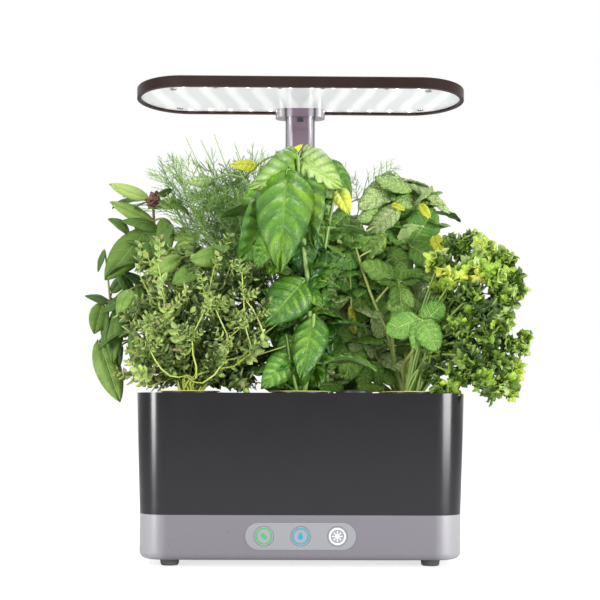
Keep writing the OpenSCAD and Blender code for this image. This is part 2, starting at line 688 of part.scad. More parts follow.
module fill_flap() color("#3a3a3e") difference() {
    union() {
        translate([port_x, port_y, flap_z]) {
            cylinder(d = port_d + 2, h = flap_t);
            translate([0, 0, flap_t]) rotate_extrude() intersection() {
                translate([0, dome_h - dome_r]) circle(dome_r);
                square([port_d / 2 - 1.5, 4]);
            }
        }
        translate([port_x - 5.5, port_y + port_d / 2 - 1, flap_z]) cube([11, pin_y - port_y - port_d / 2 + 1, flap_t]);
        translate([port_x - 7.2, pin_y, hinge_z]) rotate([0, 90, 0]) cylinder(d = hinge_d + 2 * knuckle_wall, h = 14.4);
    }
    translate([port_x - 20, pin_y, hinge_z]) rotate([0, 90, 0]) cylinder(d = hinge_d + 2 * fit, h = 40);
}
module flap_pin() color("silver") translate([port_x - 10.5, pin_y, hinge_z]) rotate([0, 90, 0])
    cylinder(d = hinge_d, h = 21);

basket_wall = 1.2;
basket_taper = 3;
module baskets() color("#1f1f22") for (p = pods) translate([p[0], p[1], collar_z]) difference() {
    rotate_extrude() polygon([
        [0, -basket_h], [basket_d / 2 - basket_taper, -basket_h], [basket_d / 2, 0],
        [collar_d / 2, 0], [collar_d / 2, basket_flange_t], [basket_d / 2 - basket_wall, basket_flange_t],
        [basket_d / 2 - basket_wall - basket_taper, -basket_h + 1.6], [0, -basket_h + 1.6]]);
    for (a = [0:60:120]) rotate(a) translate([-40, -2, -basket_h + 4]) cube([80, 4, basket_h - 18]);
    translate([0, 0, -basket_h - 1]) cylinder(d = 8, h = 4);
}

sponge_d = basket_d - 2 * (basket_wall + basket_taper) - 0.6;
sponge_top = collar_z - 0.6;
module sponges() color("#6b4a2f") for (p = pods) translate([p[0], p[1], collar_z - basket_h + 1.6])
    cylinder(d1 = sponge_d, d2 = sponge_d + 2 * basket_taper - 0.4, h = sponge_top - collar_z + basket_h - 1.6);

module pod_labels() color("#f1eab0") for (p = pods) translate([p[0], p[1], collar_z + basket_flange_t])
    ring(label_d, 24, 0.5);

// ---- Plants: stems with closed leaves, each plant kept to its own room ----

plant_z = collar_z - 1.4;                 // where the stems leave the sponge
gap_between = 1.6;
side_reach = 179;                         // how far the leaves hang out to either side
depth_reach = 90;
row_split = (pod_front_y + pod_back_y) / 2;
col_split = pod_pitch_x / 2;
side_out = side_reach - pod_pitch_x;      // reach of the outer herbs past their pods

// A point at share t along a stem of three points
function along(p, t) = (1 - t) * (1 - t) * p[0] + 2 * t * (1 - t) * p[1] + t * t * p[2];
// The point at share t of a stem drawn in n straight pieces
function on_stem(p, n, t) = let (i = min(n - 1, floor(t * n)), u = t * n - i)
    (1 - u) * along(p, i / n) + u * along(p, (i + 1) / n);
function heading(p, t) = let (d = along(p, t + 0.05) - along(p, t)) atan2(d[1], d[0]);

// A leaf with its foot at the origin, lying along +X
module leaf(l, w, t, droop = 0.15) {
    polyhedron(
        [[-1, 0, 0], [0.3 * l, -w / 2, 0], [0.72 * l, -0.36 * w, -0.4 * droop * l], [l, 0, -droop * l],
            [0.72 * l, 0.36 * w, -0.4 * droop * l], [0.3 * l, w / 2, 0], [0.45 * l, 0, t], [0.45 * l, 0, -0.5 * t]],
        [[6, 1, 0], [6, 2, 1], [6, 3, 2], [6, 4, 3], [6, 5, 4], [6, 0, 5],
            [7, 0, 1], [7, 1, 2], [7, 2, 3], [7, 3, 4], [7, 4, 5], [7, 5, 0]]);
}

// A leaf drawn from its foot to its tip, bowed out towards the front by bow
module drawn_leaf(foot, tip, w, t, bow = 0.1, front = [0, -1, 0.3]) {
    l = norm(tip - foot);
    d = (tip - foot) / l;
    raised = front - (front * d) * d;
    n = raised / norm(raised);
    s = cross(n, d);
    b = bow * l;
    polyhedron(
        [for (q = [[-1, 0, 0], [0.3 * l, -w / 2, 0.7 * b], [0.72 * l, -0.36 * w, 0.7 * b], [l, 0, 0], [0.72 * l, 0.36 * w, 0.7 * b],
            [0.3 * l, w / 2, 0.7 * b], [0.45 * l, 0, b + t], [0.45 * l, 0, b - 0.5 * t]]) foot + q[0] * d + q[1] * s + q[2] * n],
        [[6, 1, 0], [6, 2, 1], [6, 3, 2], [6, 4, 3], [6, 5, 4], [6, 0, 5],
            [7, 0, 1], [7, 1, 2], [7, 2, 3], [7, 3, 4], [7, 4, 5], [7, 5, 0]]);
}

// A small leaf or a frond's thread with four corners
module blade(l, w, t) {
    polyhedron([[-0.6, 0, 0], [0.45 * l, -w / 2, 0], [l, 0, -0.08 * l], [0.45 * l, w / 2, 0], [0.45 * l, 0, t / 2], [0.45 * l, 0, -t / 2]],
        [[4, 1, 0], [4, 2, 1], [4, 3, 2], [4, 0, 3], [5, 0, 1], [5, 1, 2], [5, 2, 3], [5, 3, 0]]);
}

// A tapering stem in n straight pieces
module stem(p, r, n, tip = 0.5) {
    for (i = [0:n - 1]) hull() {
        translate(along(p, i / n)) sphere(r * (1 - (1 - tip) * i / n), $fn = 5);
        translate(along(p, (i + 1) / n)) sphere(r * (1 - (1 - tip) * (i + 1) / n), $fn = 5);
    }
}

// A tapering stem through the points given
module twig(p, r, tip = 0.5) {
    n = len(p) - 1;
    for (i = [0:n - 1]) hull() {
        translate(p[i]) sphere(r * (1 - (1 - tip) * i / n), $fn = 5);
        translate(p[i + 1]) sphere(r * (1 - (1 - tip) * (i + 1) / n), $fn = 5);
    }
}

// A leaf on its own stalk, which leaves the stem at the point given
module stalked(at, foot, tip, w, bow = 0.1) {
    twig([at, foot], 1.3, 0.7);
    drawn_leaf(foot, tip, w, 2.6, bow);
}

// The point at share t of the way from a to b
function between(a, b, t) = (1 - t) * a + t * b;

// Pairs of leaves at the points given, each pair turned a quarter from the one below
module pairs_at(points, l, w, turn = 35, rise = 0.25) {
    for (i = [0:len(points) - 1], side = [0, 1]) {
        a = turn + 90 * i + 170 * side;
        drawn_leaf(points[i], points[i] + l * [cos(a), sin(a), rise], w, 2.6, 0.12, [0, 0, 1]);
    }
}

// Pairs of broad leaves up a stem, each pair turned a quarter from the one below
module leafy_stem(p, r, pairs, l, w, t, from = 0.3, pitch = 20, n = 4) {
    stem(p, r, n);
    for (i = [0:pairs - 1]) {
        s = from + (1 - from) * i / max(1, pairs - 1);
        for (side = [0, 1]) translate(on_stem(p, n, s - 0.02 * side))
            rotate([0, -pitch, heading(p, 0.5) + 90 * (i % 2) + 170 * side + 35])
                leaf(l * (1 - 0.25 * i / pairs), w * (1 - 0.25 * i / pairs), t, 0.3);
    }
}

module room(lo, hi) { translate(lo) cube(hi - lo); }

module from_pod(k) { translate([pods[k][0], pods[k][1], plant_z]) children(); }

// Height of the room over the rim, and how far down leaves hang outside the bowl
over_rim = collar_z + basket_flange_t + 0.8;
hang_z = rim_z - 6;
out_x = base_w / 2 + bowl_flare + 3;
flap_clear_z = deck_z + port_d + 12;      // leaves near the fill port stay above the open flap

// The foot of a plant: a low crown that stands on its pod's sponge
crown_d = 15;
crown_h = 6;
module crown(k) {
    translate([pods[k][0], pods[k][1], sponge_top]) cylinder(d = crown_d, h = crown_h, $fn = 10);
}

thyme_edge = col_split - 11;              // how far left of the middle the thyme ends
module thyme() color("#7d9157") {
    crown(0);
    intersection() {
        from_pod(0) for (i = [0:9]) {
            a = 36 * i;
            reach = 26 + 8 * sin(i * 131);
            top = [reach * 1.4 * cos(a), reach * 0.75 * sin(a), 84 + 24 * sin(i * 53)];
            p = [[4 * cos(a), 4 * sin(a), 0], [0.4 * top[0], 0.4 * top[1], 0.7 * top[2]], top];
            stem(p, 1.5, 2);
            for (j = [0:4], side = [0, 1]) translate(on_stem(p, 2, 0.4 + 0.12 * j + 0.04 * side))
                rotate([0, -25, a + 90 * (j % 2) + 170 * side]) blade(13, 8, 2.6);
        }
        room([-side_reach + 38, -depth_reach, over_rim], [-thyme_edge - gap_between, row_split - gap_between, plant_z + 122]);
    }
}

basil_top = plant_z + 188;
module genovese_basil() color("#5f9a35") {
    crown(1);
    intersection() {
        from_pod(1) {
            middle = [[0, 0, 0], [6, -6, 49], [1, -8, 125], [-3, -8, 177]];
            left = [[-3, 2, 0], [-4, 4, 50], [-15, 3, 111], [-28, -3, 143]];
            right = [[3, 2, 0], [10, 12, 51], [19, 16, 121], [28, 8, 173]];
            front = [[1, -3, 0], [7, -12, 22], [9, -19, 41], [9, -16, 68]];
            low = [[-2, -3, 0], [-6, -11, 12], [-10, -17, 30], [-12, -14, 48]];
            twig(middle, 2.4);
            twig(left, 2);
            twig(right, 2);
            twig(front, 1.9);
            twig(low, 1.6);
            stalked(middle[3], [-9, -16, 167], [-15, -46, 88], 48, 0.16);
            stalked(middle[3], [-6, -12, 180], [-40, -22, 154], 25, 0.2);
            stalked(middle[3], [2, -11, 180], [31, -16, 155], 26, 0.2);
            stalked(right[3], [24, 4, 178], [38, -2, 149], 17);
            stalked(right[3], [26, -4, 160], [35, -10, 137], 13);
            stalked(left[3], [-30, -8, 141], [-47, -14, 99], 32, 0.16);
            stalked(left[3], [-30, 4, 139], [-30, 4, 100], 22);
            stalked(between(left[2], left[3], 0.3), [-24, -12, 119], [-34, -18, 94], 18);
            stalked(between(middle[1], middle[2], 0.45), [2, -14, 85], [-27, -26, 50], 32);
            stalked(front[3], [10, -20, 58], [0, -28, 11], 27);
            stalked(low[2], [-9, -21, 29], [-29, -28, 5], 22);
            pairs_at([middle[1], between(middle[1], middle[2], 0.7), middle[2]], 30, 21);
            pairs_at([left[1], between(left[1], left[2], 0.5), left[2]], 28, 20, -20);
            pairs_at([right[1], between(right[1], right[2], 0.5), right[2]], 28, 20, 10);
            pairs_at([front[2], low[3]], 24, 17, 60, 0.1);
        }
        union() {
            room([-thyme_edge, -depth_reach, over_rim], [port_x - port_d / 2 - 4, row_split - gap_between, basil_top]);
            room([-thyme_edge, -depth_reach, flap_clear_z], [col_split + 3, row_split - gap_between, basil_top]);
            room([-62, -depth_reach, plant_z + 124.5], [1 - thyme_edge, row_split - gap_between, basil_top]);
        }
    }
}

row_room = row_split - pod_front_y - 8;   // depth a front herb has on either side of its pod
module parsley() color("#4f8a2c") {
    crown(2);
    intersection() {
        from_pod(2) for (i = [0:11]) {
            a = -95 + 190 * (i % 6) / 5;
            low = i < 6;
            reach = (side_out - (low ? 25 : 55)) * (0.8 + 0.2 * cos(a));
            top = [reach * cos(a) + 8, (low ? 1.3 : 0.8) * row_room * sin(a) - 6, low ? 22 + 14 * (i % 3) : 72 + 14 * (i % 3)];
            p = [[3 * cos(a), 3 * sin(a), 0], [0.35 * top[0], 0.35 * top[1], 0.9 * top[2]], top];
            stem(p, 1.7, 2, 0.7);
            for (j = [0:5]) translate(top) rotate([0, 25 * sin(j * 100), a + 60 * j]) blade(19, 17, 5);
        }
        union() {
            room([col_split + 18, -depth_reach, over_rim], [out_x, row_split - gap_between, plant_z + 118]);
            room([out_x - 1, -depth_reach, hang_z], [side_reach, row_split - gap_between, plant_z + 118]);
        }
    }
}

thai_top = plant_z + 182;
function far(share) = -share * side_out;  // a share of the reach out to the left
module thai_basil() color("#5c8f3c") {
    crown(3);
    intersection() {
        from_pod(3) {
            tall = [[-3, 0, 0], [-32, 2, 54], [-34, 4, 111], [-36, 4, 159]];
            outer = [[-4, 2, 0], [far(0.4), 6, 38], [far(0.59), 8, 58], [far(0.75), 6, 78]];
            front = [[-3, -3, 0], [-25, -12, 41], [-33, -15, 62], [-36, -16, 106]];
            back = [[-2, 5, 0], [-31, 22, 54], [-32, 38, 108]];
            inner = [[2, 4, 0], [8, 18, 34], [11, 26, 60]];
            side = [[-4, 3, 0], [far(0.38), 18, 32], [far(0.61), 36, 58]];
            twig(tall, 2);
            twig(outer, 1.8);
            twig(front, 1.8);
            twig(back, 1.8);
            twig(inner, 1.7);
            twig(side, 1.7);
            stalked(tall[3], [-41, 0, 160], [-71, -4, 171], 12);
            stalked(between(tall[2], tall[3], 0.7), [-39, 2, 143], [-70, -4, 157], 14);
            stalked(between(tall[2], tall[3], 0.4), [-42, 0, 134], [-72, -12, 93], 25);
            stalked(between(outer[1], outer[2], 0.7), [far(0.57), 2, 60], [far(0.66), -6, 34], 13);
            stalked(outer[3], [far(0.78), 4, 77], [far(0.96), 2, 79], 9);
            stalked(outer[3], [far(0.81), 2, 75], [far(0.86), -4, 50], 15);
            stalked(between(outer[2], outer[3], 0.6), [far(0.68), 2, 69], [far(0.69), -8, 25], 15);
            twig([between(outer[2], outer[3], 0.2), [far(0.66), 3, 54], [far(0.83), 2, 44]], 1.3, 0.8);
            drawn_leaf([far(0.83), 2, 44], [far(0.63), -6, -5], 21, 2.6);
            stalked(front[1], [-36, -15, 44], [-34, -20, 8], 16);
            stalked(front[2], [-46, -14, 66], [-55, -18, 30], 16);
            pairs_at([tall[1], between(tall[1], tall[2], 0.5), tall[2], tall[3]], 26, 13, 10);
            pairs_at([front[2], between(front[2], front[3], 0.5), front[3]], 26, 13, 50);
            pairs_at([back[1], between(back[1], back[2], 0.35), between(back[1], back[2], 0.7), back[2]], 30, 15, 20);
            pairs_at([inner[1], inner[2]], 28, 14, 0);
            pairs_at([side[1], between(side[1], side[2], 0.5), side[2]], 28, 14, 70);
            translate(tall[3]) for (j = [0:5]) rotate([0, -40, 60 * j]) blade(10, 6, 3);
        }
        union() {
            room([-out_x, row_split, over_rim], [-col_split - gap_between, depth_reach, plant_z + 68.5]);
            room([-out_x, row_split, plant_z + 60.5], [-110, depth_reach, thai_top]);
            room([-side_reach, row_split, hang_z], [1 - out_x, depth_reach, thai_top]);
        }
    }
}

dill_top = plant_z + 206;
module dill() color("#8dab6a") {
    crown(4);
    intersection() {
        from_pod(4) for (i = [0:9]) {
            a = 100 + 26 * i;
            reach = i % 3 == 0 ? 26 : 50;
            top = [reach * cos(a) - 26 + 8 * (i % 4), 0.2 * reach * sin(a) + 4, 194 - 14 * (i % 5)];
            p = [[3 * cos(a), 3 * sin(a), 0], [0.2 * top[0], 0.4 * top[1], 0.62 * top[2]], top];
            stem(p, 1.6, 3);
            for (j = [0:4], side = [0, 1]) translate(on_stem(p, 3, 0.56 + 0.09 * j + 0.03 * side))
                rotate([0, -38, a + 130 * side - 65 + 9 * j]) blade(22 - 1.6 * j, 3.2, 2.6);
        }
        union() {
            room([-col_split, row_split, over_rim], [col_split + 3, mast_y - sleeve_d / 2 - 3, dill_top]);
            room([-108, row_split, plant_z + 70.5], [1 - col_split, mast_y - sleeve_d / 2 - 3, dill_top]);
        }
    }
}

module mint() color("#4d8434") {
    crown(5);
    intersection() {
        from_pod(5) {
            leafy_stem([[-3, 0, 0], [-24, 6, 80], [-22, 2, 172]], 1.9, 6, 30, 21, 2.4, 0.35, 20, 5);
            leafy_stem([[0, 3, 0], [-2, 10, 80], [-2, 6, 164]], 1.9, 6, 30, 21, 2.4, 0.35, 20, 5);
            leafy_stem([[3, 0, 0], [20, 4, 70], [20, 10, 146]], 1.8, 5, 29, 20, 2.4, 0.35, 15);
            leafy_stem([[-2, 4, 0], [-10, 30, 60], [-14, 44, 124]], 1.8, 4, 27, 17, 2.4, 0.4, 15);
            leafy_stem([[3, 4, 0], [18, 30, 50], [24, 52, 108]], 1.8, 4, 27, 17, 2.4, 0.4, 15);
        }
        room([col_split + 3 + gap_between, row_split, over_rim], [out_x, depth_reach, plant_z + 176.5]);
    }
}

base_housing();
base_cover();
cover_screws();
rubber_feet();
control_panel();
control_board();
board_screws();
tact_switches();
dc_jack();
jack_pin();
level_switch();
pump_contacts();
mast_sleeve();
sleeve_screws();
mast_bush();
plant_food_button();
leaf_icon();
water_button();
drop_icon();
light_button();
sun_icon();
mast_tube();
mast_foot();
mast_flange();
mast_latch();
flange_screws();
lamp_lead();
hood_housing();
hood_top_cover();
hood_bracket();
heat_spreader();
led_boards();
grow_leds();
reflector_panel();
panel_screws();
bowl();
pump_housing();
pump_cover();
pump_riser();
impeller_shaft();
float_guide();
impeller();
water_float();
float_magnet();
grow_deck();
fill_flap();
flap_pin();
baskets();
sponges();
pod_labels();
thyme();
genovese_basil();
parsley();
thai_basil();
dill();
mint();
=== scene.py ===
import bpy
import math
import random
import numpy as np
from mathutils import Matrix, Vector


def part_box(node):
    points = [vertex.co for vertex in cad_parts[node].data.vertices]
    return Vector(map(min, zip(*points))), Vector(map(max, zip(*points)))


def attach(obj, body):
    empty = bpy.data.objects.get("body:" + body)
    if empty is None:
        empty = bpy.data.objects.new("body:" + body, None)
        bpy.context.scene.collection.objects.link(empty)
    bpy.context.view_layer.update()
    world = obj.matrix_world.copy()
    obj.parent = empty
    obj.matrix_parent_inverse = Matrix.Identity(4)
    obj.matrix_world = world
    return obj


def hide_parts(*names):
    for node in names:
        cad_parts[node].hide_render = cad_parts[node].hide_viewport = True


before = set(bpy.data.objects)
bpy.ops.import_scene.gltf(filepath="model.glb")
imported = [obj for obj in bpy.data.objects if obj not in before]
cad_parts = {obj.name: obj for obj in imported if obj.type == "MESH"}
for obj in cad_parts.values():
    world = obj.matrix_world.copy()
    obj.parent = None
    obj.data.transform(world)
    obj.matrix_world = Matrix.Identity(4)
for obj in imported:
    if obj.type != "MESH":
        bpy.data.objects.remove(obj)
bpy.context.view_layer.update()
mm = 0.001
print("frame loaded:", len(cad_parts), "nodes")

# the camera is nearly level, a little above the middle of the garden: place in mm, angles in radians
cameraSetup = {"place": (-10.7, -870.8, 111.2), "lens": 65.93, "sensor": 36, "shift": 0.15, "clip": (0.01, 50),
               "up": 0.02282, "turn": -0.01233, "roll": -0.00394, "picture": 600}
# picture widths become millimetres with this: focal length in pixels, as the widths were measured
focalPixels = 1098.8

def cameraAxes(setup):
    right = Vector((math.cos(setup["turn"]), math.sin(setup["turn"]), 0))
    level = Vector((-math.sin(setup["turn"]), math.cos(setup["turn"]), 0))
    ahead = level * math.cos(setup["up"]) + Vector((0, 0, 1)) * math.sin(setup["up"])
    upward = Vector((0, 0, 1)) * math.cos(setup["up"]) - level * math.sin(setup["up"])
    cr, sr = math.cos(setup["roll"]), math.sin(setup["roll"])
    return right * cr - upward * sr, right * sr + upward * cr, ahead

camRight, camUp, camAhead = cameraAxes(cameraSetup)
cameraPlace = Vector(cameraSetup["place"]) * mm
cameraData = bpy.data.cameras.new("view")
cameraData.lens = cameraSetup["lens"]
cameraData.shift_y = cameraSetup["shift"]
cameraData.clip_start, cameraData.clip_end = cameraSetup["clip"]
cameraObject = bpy.data.objects.new("view", cameraData)
bpy.context.scene.collection.objects.link(cameraObject)
turned = Matrix((camRight, camUp, -camAhead)).transposed().to_4x4()
cameraObject.matrix_world = Matrix.Translation(cameraPlace) @ turned
bpy.context.scene.camera = cameraObject
print("camera ready")

# the point that shows at a place of the 600 by 600 picture, y mm behind the middle of the base
def at(px, py, y):
    focal = cameraSetup["lens"] / cameraSetup["sensor"] * cameraSetup["picture"]
    middle = cameraSetup["picture"] / 2
    sideways = camRight * (px - middle) / focal
    down = camUp * (py - middle - cameraSetup["shift"] * cameraSetup["picture"]) / focal
    ray = sideways - down + camAhead
    return cameraPlace + ray * ((y * mm - cameraPlace.y) / ray.y)

def point(x, y, z):
    return Vector((x, y, z)) * mm

def srgb(r, g, b):
    return tuple(((c / 255 + 0.055) / 1.055) ** 2.4 if c > 10 else c / 255 / 12.92 for c in (r, g, b)) + (1.0,)

# the same colour, darker or lighter
def shaded(colour, share):
    return tuple(min(1, c * share) for c in colour[:3]) + (1.0,)

# a material, with short names for the nodes that the finishes are made of
class Finish:
    def __init__(self, name, colour, rough, metal=0.0, specular=0.5):
        self.material = bpy.data.materials.new(name)
        self.material.use_nodes = True
        self.nodes = self.material.node_tree.nodes
        self.links = self.material.node_tree.links
        self.shader = self.nodes["Principled BSDF"]
        self.shader.inputs["Base Color"].default_value = colour
        self.shader.inputs["Roughness"].default_value = rough
        self.shader.inputs["Metallic"].default_value = metal
        self.shader.inputs["Specular IOR Level"].default_value = specular
        self.coords = self.nodes.new("ShaderNodeTexCoord").outputs["Object"]
        self.height = None

    # a value goes into a socket, or is linked to it
    def feed(self, socket, value):
        if isinstance(value, bpy.types.NodeSocket):
            self.links.new(value, socket)
        else:
            socket.default_value = value

    def node(self, kind, **values):
        made = self.nodes.new(kind)
        for key, value in values.items():
            if key in made.inputs:
                self.feed(made.inputs[key], value)
            else:
                setattr(made, key, value)
        return made

    def maths(self, operation, first, second=0.0, clamp=False):
        made = self.nodes.new("ShaderNodeMath")
        made.operation = operation
        made.use_clamp = clamp
        self.feed(made.inputs[0], first)
        self.feed(made.inputs[1], second)
        return made.outputs[0]

    def plus(self, first, second, clamp=False):
        return self.maths("ADD", first, second, clamp)

    def minus(self, first, second):
        return self.maths("SUBTRACT", first, second)

    def times(self, first, second):
        return self.maths("MULTIPLY", first, second)

    def absolute(self, value):
        return self.maths("ABSOLUTE", value)

    def axes(self):
        return self.node("ShaderNodeSeparateXYZ", Vector=self.coords).outputs

    def attribute(self, name):
        return self.node("ShaderNodeAttribute", attribute_name=name).outputs["Fac"]

    def noise(self, scale, detail=3.0, rough=0.55, coords=None):
        place = coords or self.coords
        return self.node("ShaderNodeTexNoise", Vector=place, Scale=scale, Detail=detail, Roughness=rough).outputs["Fac"]

    def stretched(self, scale):
        return self.node("ShaderNodeMapping", Vector=self.coords, Scale=scale).outputs[0]

    def ramp(self, value, low, high, fromValue=0.0, toValue=1.0):
        made = self.node("ShaderNodeMapRange", Value=value)
        for key, number in (("From Min", low), ("From Max", high), ("To Min", fromValue), ("To Max", toValue)):
            self.feed(made.inputs[key], number)
        return made.outputs[0]

    def mix(self, share, first, second):
        made = self.nodes.new("ShaderNodeMix")
        made.data_type = "RGBA"
        for number, value in ((0, share), (6, first), (7, second)):
            self.feed(made.inputs[number], value)
        return made.outputs[2]

    def paint(self, colour):
        self.links.new(colour, self.shader.inputs["Base Color"])

    def roughen(self, value):
        self.links.new(value, self.shader.inputs["Roughness"])

    def glow(self, colour, strength):
        self.feed(self.shader.inputs["Emission Color"], colour)
        self.feed(self.shader.inputs["Emission Strength"], strength)

    def bump(self, height, depth, strength=1.0):
        made = self.node("ShaderNodeBump", Height=height, Distance=depth, Strength=strength)
        if self.height is not None:
            self.links.new(self.height, made.inputs["Normal"])
        self.height = made.outputs["Normal"]
        self.links.new(self.height, self.shader.inputs["Normal"])

# moulded plastic: fine grain, faint cloudiness in the colour, roughness that wanders a little
def plastic(name, colour, rough, grain=900, depth=0.00003, cloud=0.06, specular=0.5):
    made = Finish(name, colour, rough, specular=specular)
    cloudy = made.ramp(made.noise(22), 0.3, 0.7)
    made.paint(made.mix(cloudy, shaded(colour, 1 - cloud), shaded(colour, 1 + cloud)))
    made.roughen(made.ramp(made.noise(60), 0.3, 0.7, rough * 0.9, rough * 1.12))
    made.bump(made.noise(grain, 2), depth, 0.6)
    return made

# drawn metal: fine lines along X in its colour, roughness and relief
def metal(name, colour, rough):
    made = Finish(name, colour, rough, metal=1.0)
    lines = made.noise(1.0, 4, coords=made.stretched((40, 900, 900)))
    made.paint(made.mix(made.ramp(lines, 0.35, 0.65), shaded(colour, 0.85), colour))
    made.roughen(made.ramp(lines, 0.3, 0.7, rough * 0.8, rough * 1.3))
    made.bump(lines, 0.00002, 0.5)
    return made

# plastics and metals by the record's slots: material, colour, roughness, and what differs from the usual grain
plastics = {
    "base_shell": ("baseShell", (128, 125, 132), 0.3, {"grain": 1500, "depth": 0.00002, "cloud": 0.02}),
    "dark_plastic": ("darkPlastic", (38, 38, 41), 0.5, {}),
    "bowl_shell": ("bowlShell", (21, 20, 24), 0.2, {"grain": 2200, "depth": 0.000006, "cloud": 0.04, "specular": 0.45}),
    "deck_plastic": ("deckPlastic", (52, 52, 56), 0.42, {"grain": 1400, "cloud": 0.08}),
    "panel_plastic": ("panelPlastic", (142, 143, 147), 0.35, {"grain": 2500, "depth": 0.00001, "cloud": 0.015}),
    "button_plastic": ("buttonPlastic", (147, 148, 152), 0.3, {"grain": 2500, "depth": 0.00001, "cloud": 0.015}),
    "rubber": ("footRubber", (82, 80, 84), 0.75, {"grain": 1200, "depth": 0.00006, "cloud": 0.12}),
    "mast_finish": ("mastFinish", (132, 114, 128), 0.2, {"grain": 2000, "depth": 0.000008}),
    "hood_plastic": ("hoodPlastic", (36, 22, 17), 0.36,
                     {"grain": 1100, "depth": 0.00005, "cloud": 0.3, "specular": 0.2}),
    "reflector": ("reflectorWhite", (228, 230, 232), 0.16, {"grain": 1800, "depth": 0.000006, "cloud": 0.01}),
    "white_plastic": ("pumpWhite", (222, 222, 226), 0.4, {"cloud": 0.03}),
    "impeller_plastic": ("impellerBlue", (76, 120, 184), 0.4, {}),
    "float_plastic": ("floatOrange", (238, 158, 60), 0.55, {"grain": 700, "depth": 0.0001})}
metals = {"steel": ("screwSteel", (196, 196, 198), 0.32),
          "contact_metal": ("contactGold", (226, 186, 96), 0.28),
          "aluminium": ("spreaderAluminium", (186, 187, 190), 0.4)}
finishes = {slot: plastic(name, srgb(*colour), rough, **more) for slot, (name, colour, rough, more) in plastics.items()}
finishes.update({slot: metal(name, srgb(*colour), rough) for slot, (name, colour, rough) in metals.items()})

# base: a darker front between lighter ends, which start this far from its middle; the lighter ends are a painted
# highlight of the side lamps on its rounded corners
baseLook = {"front": (116, 113, 120), "ends": (160, 160, 164), "endsFrom": 0.097, "endsTo": 0.109}
baseShell = finishes["base_shell"]
baseEndsPaintedHighlight = baseShell.ramp(baseShell.absolute(baseShell.axes()[0]), baseLook["endsFrom"], baseLook["endsTo"])
baseShell.paint(baseShell.mix(baseEndsPaintedHighlight, srgb(*baseLook["front"]), srgb(*baseLook["ends"])))

# bowl: a little paler towards its foot, a painted reflection of the white floor
bowlLook = {"low": (29, 28, 33), "high": (14, 13, 17), "lowUpTo": 0.03, "highFrom": 0.125}
bowlShell = finishes["bowl_shell"]
bowlFloorReflection = bowlShell.ramp(bowlShell.axes()[2], bowlLook["lowUpTo"], bowlLook["highFrom"])
bowlShell.paint(bowlShell.mix(bowlFloorReflection, srgb(*bowlLook["low"]), srgb(*bowlLook["high"])))

# mast: a mauve middle that stands in for the grow light's purple glare on the black tube, painted highlights down its
# sides and a line of painted shade down each edge
mastLook = {"middle": (118, 100, 114), "sides": (176, 170, 178), "edge": (84, 80, 84), "metallic": 0.6, "coat": 0.6,
            "sidesFrom": 0.0064, "sidesTo": 0.0078, "edgeAt": 0.0122, "edgeDark": 0.0006, "edgeEnd": 0.0018}
mast = finishes["mast_finish"]
mastOut = mast.absolute(mast.axes()[0])
mastSideHighlights = mast.ramp(mastOut, mastLook["sidesFrom"], mastLook["sidesTo"])
mastEdgeShade = mast.absolute(mast.minus(mastOut, mastLook["edgeAt"]))
mastEdgeShade = mast.ramp(mastEdgeShade, mastLook["edgeDark"], mastLook["edgeEnd"], 1.0, 0.0)
mastColour = mast.mix(mastSideHighlights, srgb(*mastLook["middle"]), srgb(*mastLook["sides"]))
mast.paint(mast.mix(mastEdgeShade, mastColour, srgb(*mastLook["edge"])))
mast.shader.inputs["Metallic"].default_value = mastLook["metallic"]
mast.shader.inputs["Coat Weight"].default_value = mastLook["coat"]

# reflector: painted light, a glow in soft arcs between the rows of LEDs and a warm halo round each
reflectorLook = {"middleY": 0.024, "arcPitch": 0.0205, "arcWave": 60.0, "arcSwing": 0.22, "arcEdges": (0.08, 0.3),
                 "ledPitch": 0.0169, "ledRow": 0.033, "halo": (0.0018, 0.0062),
                 "dim": (196, 198, 202), "bright": (255, 255, 255), "warm": (255, 232, 214), "glow": 0.4}
reflector = finishes["reflector"]
across, along = reflector.axes()[:2]
along = reflector.minus(along, reflectorLook["middleY"])
arcSwing = reflector.maths("SINE", reflector.times(along, reflectorLook["arcWave"]))
arcSwing = reflector.times(arcSwing, reflectorLook["arcSwing"])
arcPhase = reflector.plus(reflector.maths("DIVIDE", reflector.absolute(across), reflectorLook["arcPitch"]), arcSwing)
fromArc = reflector.absolute(reflector.minus(reflector.maths("FRACT", arcPhase), 0.5))
arcs = reflector.ramp(fromArc, *reflectorLook["arcEdges"], 1.0, 0.0)
ledPhase = reflector.maths("FRACT", reflector.maths("DIVIDE", across, reflectorLook["ledPitch"]))
ledAcross = reflector.times(reflector.minus(ledPhase, 0.5), reflectorLook["ledPitch"])
ledAlong = reflector.minus(reflector.absolute(along), reflectorLook["ledRow"])
ledNear = reflector.plus(reflector.maths("POWER", ledAcross, 2.0), reflector.maths("POWER", ledAlong, 2.0))
halo = reflector.ramp(reflector.maths("SQRT", ledNear), *reflectorLook["halo"], 1.0, 0.0)
lit = reflector.mix(arcs, srgb(*reflectorLook["dim"]), srgb(*reflectorLook["bright"]))
reflector.glow(reflector.mix(halo, lit, srgb(*reflectorLook["warm"])), reflectorLook["glow"])

# printed circuit board: green lacquer with copper tracks under it
circuitLook = {"board": (38, 98, 62), "patch": (32, 86, 54), "gap": (74, 140, 84), "scale": 260.0}
circuit = Finish("circuitBoard", srgb(*circuitLook["board"]), 0.35)
tracks = circuit.node("ShaderNodeTexBrick", Vector=circuit.coords, Scale=circuitLook["scale"])
tracks.offset = 0.35
tracks.inputs["Mortar Size"].default_value = 0.06
for socket, colour in (("Color1", "board"), ("Color2", "patch"), ("Mortar", "gap")):
    tracks.inputs[socket].default_value = srgb(*circuitLook[colour])
circuit.paint(tracks.outputs["Color"])
circuit.bump(tracks.outputs["Fac"], 0.00003, 0.4)
finishes["circuit"] = circuit

